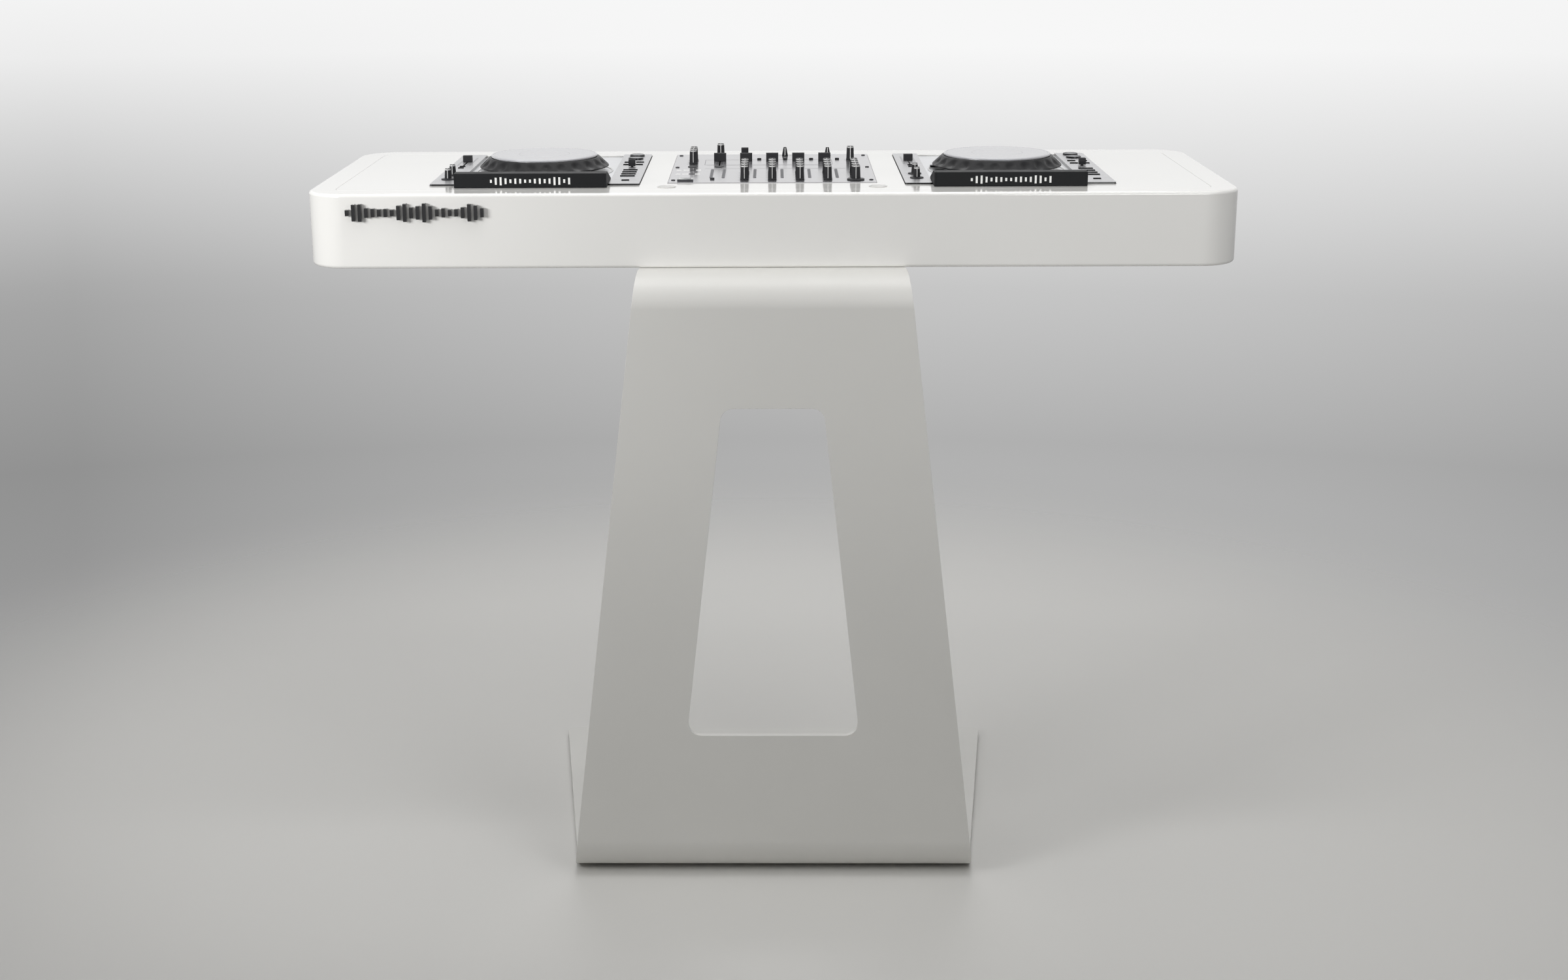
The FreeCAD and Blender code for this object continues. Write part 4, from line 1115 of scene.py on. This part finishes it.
# a plain-faced cap with a finger groove across its top and a white line in it
def makeFader(node, surface, kind):
    size, trim = faderLook[kind], faderTrim
    foot = spotOf(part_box(node), surface)
    half, crown, top = size["length"] / 2, size["length"] / 2 * trim["topShare"], size["height"]
    points = [(-half, trim["gap"]), (half, trim["gap"]), (crown, top), (trim["grooveHalf"], top),
              (0, top - trim["groove"]), (-trim["grooveHalf"], top), (-crown, top)]
    outline = softOutline(points, [0.4, 0.4, 1.1, 0.5, 1.2, 0.5, 1.1], 4)
    bm = bmesh.new()
    addSlice(bm, outline, foot, size["width"] / 2 * mm)
    softenEdges(bm, trim["edge"], 2, 60)
    floor = top - trim["groove"] + trim["lineLift"]
    reach = size["width"] / 2 - trim["lineInset"]
    addBox(bm, foot + Vector((-reach, -trim["lineHalf"], floor - trim["lineSink"])) * mm,
           foot + Vector((reach, trim["lineHalf"], floor + trim["lineProud"])) * mm, 1)
    wide, long = trim["bladeWidth"] / 2, trim["bladeLength"] / 2
    addBox(bm, foot - Vector((wide, long, size["blade"])) * mm,
           foot + Vector((wide, long, trim["bladeTop"])) * mm)
    finishPiece(node + "_visual", bm, [softRubber, whiteInk], node)


crossLook = {
    "half": 5.0, "shoulderShare": 0.86, "shoulder": 3.2, "crownHalf": 2.5, "length": 17.0, "height": 13.5,
    "gap": 0.3, "edge": 0.28, "lineHalf": 0.5, "lineFoot": 1.2, "lineProud": 0.15,
    "bladeHalf": (2.5, 0.8), "bladeDepth": 7.0, "bladeTop": 0.6,
}


# the crossfader's cap runs to a ridge, with one white line up its faces and over the top
def makeCrossfader(surface):
    look = crossLook
    foot = spotOf(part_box("crossfader"), surface)
    half, crown, top, waist = look["half"], look["crownHalf"], look["height"], look["shoulder"]
    bulge = half * look["shoulderShare"]
    points = [(-half, look["gap"]), (half, look["gap"]), (bulge, waist), (crown, top), (-crown, top),
              (-bulge, waist)]
    outline = softOutline(points, [0.3, 0.3, 2.0, 0.9, 0.9, 2.0], 4)
    spots = [(foot.x + p.x * mm, foot.z + p.y * mm) for p in outline]
    reach = look["length"] / 2
    inner = (reach - look["lineProud"]) * mm
    bm = bmesh.new()
    addPrism(bm, spots, "y", foot.y - inner, foot.y + inner)
    softenEdges(bm, look["edge"], 3, 60)
    addBox(bm, foot + Vector((-look["lineHalf"], -reach, look["lineFoot"])) * mm,
           foot + Vector((look["lineHalf"], reach, top)) * mm, 1)
    addBox(bm, foot - Vector((*look["bladeHalf"], look["bladeDepth"])) * mm,
           foot + Vector((*look["bladeHalf"], look["bladeTop"])) * mm)
    finishPiece("crossfader_visual", bm, [softRubber, whiteInk], "crossfader")


buttonLook = {"sink": 2.4, "rise": 3.0, "rim": 1.9, "edge": 0.8, "dome": 0.5}


# a dark ring round a light domed face
def makeButton(node):
    look = buttonLook
    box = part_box(node)
    foot = spotOf(box, wingTop)
    radius = (box[1].x - box[0].x) / 2 / mm
    inner = radius - look["rim"]
    ring = [(0, -look["sink"]), (radius, -look["sink"]), (radius, look["rise"]), (inner, look["rise"]),
            (inner, look["rise"] - 0.8), (0, look["rise"] - 0.8)]
    bm = bmesh.new()
    addSpun(bm, softOutline(ring, [0, 0.2, look["edge"], 0.4, 0, 0], 4), foot, 72)
    face = inner - 0.15
    dome = [(0, look["rise"] - 1.0), (face, look["rise"] - 1.0)]
    for i in range(9):
        share = i / 8
        dome.append((face * (1 - share), look["rise"] - 0.55 + look["dome"] * (1 - (1 - share) ** 2)))
    addSpun(bm, dome, foot, 72, 1)
    finishPiece(node + "_visual", bm, [glossPlastic, buttonGrey], node)


leverLook = {
    "lift": 1.4, "height": 12.0, "footShare": 0.9, "waistShare": 0.55, "crownShare": 0.8, "dip": 0.7,
    "edge": 0.4, "stem": 4.0, "stemDepth": 3.5, "stemTop": 0.5,
    "grips": 4, "gripSpread": 0.55, "gripShare": 0.7, "gripHalf": 0.35, "gripFoot": 1.2, "gripTop": 0.05,
}


def makeLever(node):
    look = leverLook
    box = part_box(node)
    foot = spotOf(box, wingTop)
    x, y = (box[1].x - box[0].x) / 2, (box[1].y - box[0].y) / 2
    low, top = look["lift"] * mm, look["height"] * mm
    base, crown, waist = y * look["footShare"], y * look["crownShare"], top * look["waistShare"]
    points = [(-base, low), (base, low), (y, waist), (crown, top), (0, top - look["dip"] * mm), (-crown, top),
              (-y, waist)]
    outline = softOutline(points, [0.5 * mm, 0.5 * mm, 1 * mm, 0.8 * mm, 3 * mm, 0.8 * mm, 1 * mm], 3)
    bm = bmesh.new()
    addPrism(bm, [(foot.y + p.x, foot.z + p.y) for p in outline], "x", foot.x - x, foot.x + x)
    softenEdges(bm, look["edge"], 3, 60)
    reach, half = x * look["gripShare"], look["gripHalf"] * mm
    for i in range(look["grips"]):
        across = y * look["gripSpread"] * (2 * i / (look["grips"] - 1) - 1)
        addBox(bm, foot + Vector((-reach, across - half, top - look["gripFoot"] * mm)),
               foot + Vector((reach, across + half, top - look["gripTop"] * mm)))
    stem = look["stem"] / 2 * mm
    addBox(bm, foot - Vector((stem, stem, look["stemDepth"] * mm)),
           foot + Vector((stem, stem, low + look["stemTop"] * mm)))
    finishPiece(node + "_visual", bm, [softRubber], node)


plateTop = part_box("mixer_plate")[1].z
for side in sides:
    for name in ("start", "brake"):
        makeKnob(f"{side}_{name}_knob", wingTop, "speed")
    for name in ("cue", "play"):
        makeButton(f"{side}_{name}_button")
    makeFader(side + "_tempo_fader", wingTop, "tempo")
    makeLever(side + "_direction_lever")
channels = [1, 2, 3, 4]
bands = ["trim", "high", "mid", "low"]
bandKnobs = [f"channel_{c}_{b}_knob" for c in channels for b in bands]
mixerFaders = [f"channel_{c}_fader" for c in channels] + ["master_fader"]
for channel in channels:
    for band in bands:
        makeKnob(f"channel_{channel}_{band}_knob", plateTop, "mixer")
    makeFader(f"channel_{channel}_fader", plateTop, "mixer")
makeFader("master_fader", plateTop, "mixer")
makeKnob("effects_knob", plateTop, "mixer")
makeKnob("phones_knob", plateTop, "phones")
makeCrossfader(plateTop)
print("moving controls made")


# Small controls

# knobs rise above knobRise, round keys stay below keyRise, cones and flat caps lie between
smallLook = {"knobRise": 20.0, "keyRise": 8.0, "keyEdge": 0.45, "roundEdge": 0.8, "coneLine": 0.9,
             "capEdge": 1.0}


def makeSmallControls():
    bm = bmesh.new()
    rounds = []
    for box in solidsOf("mixer_small_controls"):
        size = (box[1] - box[0]) / mm
        foot = spotOf(box, plateTop)
        rise = (box[1].z - plateTop) / mm
        if rise > smallLook["knobRise"]:
            addKnob(bm, foot, "mixer")
        elif rise < smallLook["keyRise"]:
            rounds.append((foot, size.x / 2, rise))
        elif abs(size.x - size.y) < 0.5:
            addCone(bm, foot, size.x / 2, rise)
        else:
            addFlatCap(bm, box)
    for foot, radius, rise in rounds:
        points = [(0, -0.2), (radius, -0.2), (radius, rise), (0, rise)]
        edge = min(smallLook["roundEdge"], rise * 0.45)
        addSpun(bm, softOutline(points, [0, 0, edge, 0], 4), foot, 40)
    finishes = [softRubber, lightCap, whiteInk]
    finishPiece("mixer_small_controls_visual", bm, finishes, "mixer_small_controls", angle=40)


def addCone(bm, foot, radius, rise):
    points = [(0, -0.1), (radius, -0.1), (radius, 1.4), (radius * 0.86, 2.6), (radius * 0.5, rise - 1.0),
              (radius * 0.5, rise), (0, rise)]
    addSpun(bm, softOutline(points, [0, 0, 0.5, 1.0, 0, 0.6, 0], 3), foot, 48)
    half = smallLook["coneLine"] / 2 * mm
    outline = [(-radius * 0.86 - 0.25, 2.8), (-radius * 0.5 - 0.25, rise - 0.6), (0, rise), (0, rise - 2),
               (-radius * 0.5 + 0.5, rise - 2), (-radius * 0.86 + 0.5, 2.8)]
    addSlice(bm, outline, foot, half, 2)


def addFlatCap(bm, box):
    part = bmesh.new()
    low = Vector((box[0].x, box[0].y, plateTop - 0.1 * mm))
    addBox(part, low, box[1])
    softenEdges(part, smallLook["capEdge"], 3)
    made = bpy.data.meshes.new("cap")
    part.to_mesh(made)
    part.free()
    bm.from_mesh(made)
    bpy.data.meshes.remove(made)


def makePlayerKeys():
    boxes = solidsOf("player_keys")
    repeatBlocks("player_keys_visual", boxes, keySilicone, "player_keys", smallLook["keyEdge"])


screwLook = {"headRadius": 3.2, "headHeight": 1.2, "shankRadius": 1.5, "shankLength": 9.0, "slotWidth": 0.9,
             "slotLength": 3.8, "slotDepth": 0.7, "turnStep": 0.4}


# pan heads with a cross recess
def makeScrews():
    look = screwLook
    bm = bmesh.new()
    head, shank = look["headRadius"], look["shankRadius"]
    top, end = look["headHeight"], -look["shankLength"]
    points = [(0, end), (shank, end), (shank, 0), (head, 0), (head, top), (0, top)]
    addSpun(bm, softOutline(points, [0, 0.4, 0, 0.1, 0.7, 0], 4), Vector(), 40)
    bmesh.ops.recalc_face_normals(bm, faces=bm.faces)
    screw = newObject("screw pattern", bm, [])
    for along in (0, 1):
        size = (look["slotLength"], look["slotWidth"])
        reach = Vector((size[along], size[1 - along], 0)) * mm / 2
        bm = bmesh.new()
        addBox(bm, -reach + Vector((0, 0, top - look["slotDepth"])) * mm,
               reach + Vector((0, 0, top + 1)) * mm)
        cutAway(screw, bm)
    bm = bmesh.new()
    bm.from_mesh(screw.data)
    bpy.data.objects.remove(screw)
    spots = [spotOf(b, plateTop) for b in solidsOf("mixer_screws")]
    turns = [(0, 0, look["turnStep"] * i) for i in range(len(spots))]
    repeatPattern("mixer_screws_visual", bm, spots, blackOxide, "mixer_screws", turns=turns)


makeSmallControls()
makePlayerKeys()
makeScrews()
print("small controls made")


# Mixer face

windowLook = {
    "bezel": 0.4, "face": 2.2, "faceProud": 0.12, "faceSink": 0.1, "faceEdge": 0.1, "meterRise": 2.0,
    "meterCorner": 2.4, "lampCount": 15, "lampPitch": 6.2, "lampWidth": 3.0, "lampLength": 3.6,
    "lampProud": 0.12, "lampEdge": 0.1, "firstLamp": 6.0,
    "rowShares": (0.9, 0.62, 0.78, 0.4), "firstRow": 3.0, "rowPitch": 5.0, "rowHalf": 1.2,
}


def makeMixerFace():
    look = windowLook
    softCopy("mixer_plate", satinPlate, plateLook["plateEdge"])
    boxes = solidsOf("mixer_windows")
    meters = [b for b in boxes if b[1].z - plateTop < look["meterRise"] * mm]
    display = [b for b in boxes if b[1].z - plateTop > look["meterRise"] * mm][0]
    strip = meters[0][1] - meters[0][0]
    x, y = strip.x / 2, strip.y / 2
    corners = [(-x, -y), (x, -y), (x, y), (-x, y)]
    bm = bmesh.new()
    addPrism(bm, softOutline(corners, look["meterCorner"] * mm), "z", -strip.z / 2, strip.z / 2)
    spots = [middleOf(b) for b in meters]
    repeatPattern("mixer_windows_visual", bm, spots, meterStrip, "mixer_windows", look["bezel"])
    repeatBlocks("display_bezel", [display], smokedGlass, "mixer_windows", look["bezel"], False)
    spots = [Vector((middleOf(b).x, b[0].y + look["firstLamp"] * mm, b[1].z)) for b in meters]
    piece = runTree(
        "row", "meter_lamps", spots, lampGrey, Count=look["lampCount"], Step=(0, look["lampPitch"] * mm, 0),
        Bar_Size=(look["lampWidth"] * mm, look["lampLength"] * mm, 2 * look["lampProud"] * mm), **evenRow)
    dressRow(piece, "mixer_windows", look["lampEdge"])
    inset = Vector((look["face"], look["face"], 0)) * mm
    face = (Vector((display[0].x, display[0].y, display[1].z - look["faceSink"] * mm)) + inset,
            display[1] + Vector((0, 0, look["faceProud"] * mm)) - inset)
    repeatBlocks("display_face", [face], crystalFace, "mixer_windows", look["faceEdge"], False)
    rows = []
    half = look["rowHalf"] * mm
    for i, share in enumerate(look["rowShares"]):
        y = face[1].y - (look["firstRow"] + look["rowPitch"] * i) * mm
        width = (face[1].x - face[0].x) * share
        rows.append((Vector((face[1].x - width, y - half, face[1].z - 0.02 * mm)),
                     Vector((face[1].x - half, y + half, face[1].z + 0.06 * mm))))
    repeatBlocks("display_rows", rows, greyInk, "mixer_windows", 0, False)


dialLook = {"count": 11, "firstAngle": 2.2, "sweep": 5.03, "gap": 2.6, "length": 1.7, "width": 0.45}


# marks round the knobs
def makeDials():
    look = dialLook
    mixerSpots = [spotOf(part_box(knob), plateTop) for knob in bandKnobs + ["effects_knob"]]
    mixerSpots += [spotOf(b, plateTop) for b in solidsOf("mixer_small_controls")
                   if b[1].z - plateTop > smallLook["knobRise"] * mm]
    speedSpots = [spotOf(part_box(f"{s}_{n}_knob"), wingTop) for s in sides for n in ("start", "brake")]
    mark = (look["length"] * mm, look["width"] * mm, 2 * inkLook["height"] * mm)
    for name, spots, kind, node in (("mixer_dials", mixerSpots, "mixer", "mixer_plate"),
                                    ("speed_dials", speedSpots, "speed", "player_wing_plates")):
        radius = (knobLook[kind]["skirtRadius"] + look["gap"]) * mm
        piece = runTree(
            "dial", name, spots, greyInk, Count=look["count"], Radius=radius, Mark_Size=mark,
            First_Angle=look["firstAngle"] - math.pi / 2, Sweep=look["sweep"])
        dressRow(piece, node)


scaleLook = {
    "width": 3.4, "line": 0.5,
    "mixer": {"count": 11, "pitch": 6.0, "offset": 6.4, "first": 60.0},
    "tempo": {"count": 21, "pitch": 5.0, "offset": 9.6, "first": 50.0},
}


# lines beside the fader slots
def makeScales():
    size = (scaleLook["width"] * mm, scaleLook["line"] * mm, 2 * inkLook["height"] * mm)
    tempoFaders = [side + "_tempo_fader" for side in sides]
    for name, faders, kind, surface, node in (
            ("fader_scales", mixerFaders, "mixer", plateTop, "mixer_plate"),
            ("tempo_scales", tempoFaders, "tempo", wingTop, "player_wing_plates")):
        look = scaleLook[kind]
        spots = []
        for fader in faders:
            middle = middleOf(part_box(fader))
            for hand in (-1, 1):
                x, y = middle.x + hand * look["offset"] * mm, middle.y - look["first"] * mm
                spots.append(Vector((x, y, surface)))
        step = (0, look["pitch"] * mm, 0)
        piece = runTree("row", name, spots, greyInk, Count=look["count"], Step=step, Bar_Size=size, **evenRow)
        dressRow(piece, node)


# places are millimetres from the plate's left and near edges, or from its right edge for the right-hand ends
printLook = {
    "line": 0.6, "slotGap": 1.6, "frameLeft": 50.0, "frameRight": 62.0, "frameLow": 216.0, "frameHigh": 279.0,
    "ruleLeft": 54.0, "ruleRight": 64.0, "rule": 208.0,
    "crossLeft": 52.0, "crossRight": 20.0, "crossShare": 0.47,
    "bandHalf": 5.0, "bandPlace": 13.4, "bandLine": 0.9,
    "effectRows": (101, 149), "effectLength": 10.0,
    "whiteRuns": ((7, 15), (18, 27.5), (38, 46)), "blackRuns": ((28.5, 37),),
    "keyPlace": 3.2, "keyShare": 0.6, "keyLine": 0.9,
    "buttonPlace": 15.4, "buttonWidth": 12.0, "buttonLine": 1.0,
}


# plain frames and label strips on the mixer's face and the players' wings
def makePrints():
    look = printLook
    low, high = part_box("mixer_plate")
    width = (high.x - low.x) / mm
    strips = []

    def line(x0, y0, x1, y1, thick=look["line"]):
        x, y = low.x + (x0 + x1) / 2 * mm, low.y + (y0 + y1) / 2 * mm
        strips.append(inkBox(x, y, abs(x1 - x0) + thick, abs(y1 - y0) + thick, plateTop))

    # the two lines that meet the fader slots stop short of them
    slots = sorted((middleOf(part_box(node)).x - low.x) / mm for node in mixerFaders)

    def broken(x0, x1, y):
        ends = [x0] + [x + gap for x in slots for gap in (-look["slotGap"], look["slotGap"])] + [x1]
        for start, end in zip(ends[::2], ends[1::2]):
            line(start, y, end, y)

    x0, x1, y0, y1 = look["frameLeft"], width - look["frameRight"], look["frameLow"], look["frameHigh"]
    broken(x0, x1, y0)
    line(x0, y1, x1, y1)
    line(x0, y0, x0, y1)
    line(x1, y0, x1, y1)
    broken(look["ruleLeft"], width - look["ruleRight"], look["rule"])
    cross = (high.y - low.y) / mm * look["crossShare"]
    line(look["crossLeft"], cross, width - look["crossRight"], cross)
    for node in bandKnobs:
        middle = (middleOf(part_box(node)) - low) / mm
        y = middle.y + look["bandPlace"]
        line(middle.x - look["bandHalf"], y, middle.x + look["bandHalf"], y, look["bandLine"])
    repeatBlocks("mixer_print", strips, greyInk, "mixer_plate", 0, False)
    for name, ink, runs in (("effects_labels", whiteInk, look["whiteRuns"]),
                            ("effects_dashes", blackInk, look["blackRuns"])):
        labels = []
        for y in look["effectRows"]:
            for x0, x1 in runs:
                x = low.x + (x0 + x1) / 2 * mm
                labels.append(inkBox(x, low.y + y * mm, x1 - x0, look["effectLength"], plateTop))
        repeatBlocks(name, labels, ink, "mixer_plate", 0, False)
    labels = []
    for box in solidsOf("player_keys"):
        length = (box[1].x - box[0].x) / mm * look["keyShare"]
        y = box[1].y + look["keyPlace"] * mm
        labels.append(inkBox(middleOf(box).x, y, length, look["keyLine"], wingTop))
    for node in [f"{s}_{b}_button" for s in sides for b in ("cue", "play")]:
        middle = middleOf(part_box(node))
        y = middle.y - look["buttonPlace"] * mm
        labels.append(inkBox(middle.x, y, look["buttonWidth"], look["buttonLine"], wingTop))
    repeatBlocks("wing_print", labels, greyInk, "player_wing_plates", 0, False)


makeMixerFace()
makeDials()
makeScales()
makePrints()
print("mixer face made")


# Nodes shown as they are, with their own finish
for node, finish in {"player_cases": paintedSheet, "mixer_case": paintedSheet, "circuit_boards": boardResin,
                     "jog_spindles": groundSteel}.items():
    for holder in nodes[node].material_slots:
        holder.material = finish


# Stage, lights and camera

stageLook = {"floor": "#dddcd9", "radius": 2.6, "fadeFrom": 1.15, "fadeTo": 2.3, "roughness": 0.5,
             "ior": 1.35}


# a pale floor that melts into the backdrop at its rim
def makeFloor():
    look = stageLook
    floor = bpy.data.materials.new("studio_floor")
    floor.use_nodes = True
    tree = floor.node_tree
    tree.nodes.clear()
    spot = addNode(tree, "ShaderNodeTexCoord").outputs["Object"]
    away = addNode(tree, "ShaderNodeVectorMath", {0: spot}, operation="LENGTH").outputs["Value"]
    fade = addNode(tree, "ShaderNodeMapRange", {0: away, 1: look["fadeFrom"], 2: look["fadeTo"]},
                   interpolation_type="SMOOTHSTEP")
    paint = addNode(tree, "ShaderNodeBsdfPrincipled", {
        "Base Color": fromHex(look["floor"]), "Roughness": look["roughness"], "IOR": look["ior"]})
    clear = addNode(tree, "ShaderNodeBsdfTransparent")
    mix = addNode(tree, "ShaderNodeMixShader", {0: fade.outputs[0], 1: paint.outputs[0], 2: clear.outputs[0]})
    addNode(tree, "ShaderNodeOutputMaterial", {"Surface": mix.outputs[0]})
    bm = bmesh.new()
    bmesh.ops.create_circle(bm, cap_ends=True, segments=96, radius=look["radius"])
    newObject("studio_floor", bm, [floor])


# greys by the upward part of the viewing direction, and one fall-off to the sides
worldLook = {
    "greys": {-0.32: "#b8b8b8", -0.25: "#b0b0b0", -0.18: "#c6c6c6", -0.07: "#f7f7f7"},
    "lowest": -0.34, "highest": -0.03, "centre": 0.09, "sideMost": 0.164, "fullFrom": 0.55, "edge": 0.66,
    "ambient": 0.09,
}


# a backdrop that goes from grey to white and darkens to the sides; plain soft light for everything else
def makeWorld():
    look = worldLook
    world = bpy.data.worlds.new("studio")
    world.use_nodes = True
    scene.world = world
    tree = world.node_tree
    tree.nodes.clear()
    way = addNode(tree, "ShaderNodeTexCoord").outputs["Generated"]
    across, _, rise = addNode(tree, "ShaderNodeSeparateXYZ", {0: way}).outputs
    offside = addNode(tree, "ShaderNodeMath", {0: across, 1: look["centre"]}, operation="SUBTRACT").outputs[0]
    squared = addNode(tree, "ShaderNodeMath", {0: offside, 1: offside}, operation="MULTIPLY").outputs[0]
    aside = addNode(tree, "ShaderNodeMapRange", {0: squared, 1: 0.0, 2: look["sideMost"]}).outputs[0]
    span = {0: rise, 1: look["lowest"], 2: look["highest"]}
    level = addNode(tree, "ShaderNodeMapRange", span).outputs[0]
    ramp = addNode(tree, "ShaderNodeValToRGB", {0: level})
    stops = ramp.color_ramp.elements
    stops.remove(stops[1])
    for i, (height, colour) in enumerate(look["greys"].items()):
        place = (height - look["lowest"]) / (look["highest"] - look["lowest"])
        stop = stops.new(place) if i else stops[0]
        stop.position = place
        stop.color = fromHex(colour)
    under = addNode(tree, "ShaderNodeMapRange", {0: level, 1: 1.0, 2: look["fullFrom"]}).outputs[0]
    weight = addNode(tree, "ShaderNodeMath", {0: aside, 1: under}, operation="MULTIPLY").outputs[0]
    glow = addNode(tree, "ShaderNodeMapRange", {0: weight, 3: 1.0, 4: look["edge"]}).outputs[0]
    seen = addNode(tree, "ShaderNodeBackground", {"Color": ramp.outputs[0], "Strength": glow})
    soft = addNode(tree, "ShaderNodeBackground", {"Color": fromHex("#ffffff"), "Strength": look["ambient"]})
    path = addNode(tree, "ShaderNodeLightPath").outputs
    direct = addNode(tree, "ShaderNodeMath", {0: path["Is Camera Ray"], 1: path["Is Glossy Ray"]},
                     operation="MAXIMUM")
    shown = addNode(tree, "ShaderNodeMath", {0: direct.outputs[0], 1: path["Is Transmission Ray"]},
                    operation="MAXIMUM")
    mix = addNode(tree, "ShaderNodeMixShader", {0: shown.outputs[0], 1: soft.outputs[0], 2: seen.outputs[0]})
    addNode(tree, "ShaderNodeOutputWorld", {"Surface": mix.outputs[0]})


# two low softboxes in front, a strip above the panel's bend, a large one overhead and one behind
lampLook = {
    "leftFront": {"place": (-1.5, -1.28, 1.37), "aim": (-0.66, -0.24, 1.03), "size": (0.7, 0.4), "power": 4.5,
                  "spread": 90},
    "rightFront": {"place": (0.9, -1.64, 1.47), "aim": (0.5, -0.24, 0.98), "size": (0.8, 0.5), "power": 2.6,
                   "spread": 100},
    "strip": {"place": (0.0, -0.54, 2.5), "aim": (0.0, -0.35, 1.0), "size": (1.0, 0.25), "power": 1.2,
              "spread": 100},
    "top": {"place": (0.0, -0.7, 4.5), "aim": (0.0, -0.5, 0.9), "size": (6.0, 4.4), "power": 94.0,
            "spread": 180},
    "rear": {"place": (0.0, 2.4, 3.7), "aim": (0.0, 0.2, 0.8), "size": (2.6, 1.8), "power": 26.0,
             "spread": 150},
}


def makeLamps():
    for name, look in lampLook.items():
        lamp = bpy.data.lights.new(name + "_softbox", "AREA")
        lamp.shape = "RECTANGLE"
        lamp.size, lamp.size_y = look["size"]
        lamp.energy = look["power"]
        lamp.spread = math.radians(look["spread"])
        holder = bpy.data.objects.new(name + "_softbox", lamp)
        scene.collection.objects.link(holder)
        holder.location = look["place"]
        aim = Vector(look["aim"]) - Vector(look["place"])
        holder.rotation_euler = aim.to_track_quat("-Z", "Y").to_euler()
        holder.visible_camera = False


cameraLook = {"place": (0.001, -3.369, 1.517), "pitch": 15.89, "turn": 0.75, "lean": -0.3, "lens": 48.39,
              "shift": (0.0237, 0.0)}


def makeCamera():
    look = cameraLook
    camera = bpy.data.cameras.new("photo_camera")
    camera.lens = look["lens"]
    camera.sensor_width = 36.0
    camera.shift_x, camera.shift_y = look["shift"]
    camera.clip_end = 100.0
    holder = bpy.data.objects.new("photo_camera", camera)
    scene.collection.objects.link(holder)
    holder.location = look["place"]
    turn, tilt, lean = (math.radians(a) for a in (look["turn"], 90 - look["pitch"], look["lean"]))
    facing = Matrix.Rotation(turn, 3, "Z") @ Matrix.Rotation(tilt, 3, "X") @ Matrix.Rotation(lean, 3, "Z")
    holder.rotation_euler = facing.to_euler()
    scene.camera = holder


makeFloor()
makeWorld()
makeLamps()
makeCamera()
scene.view_settings.view_transform = "Standard"
print("stage, lamps and camera set")
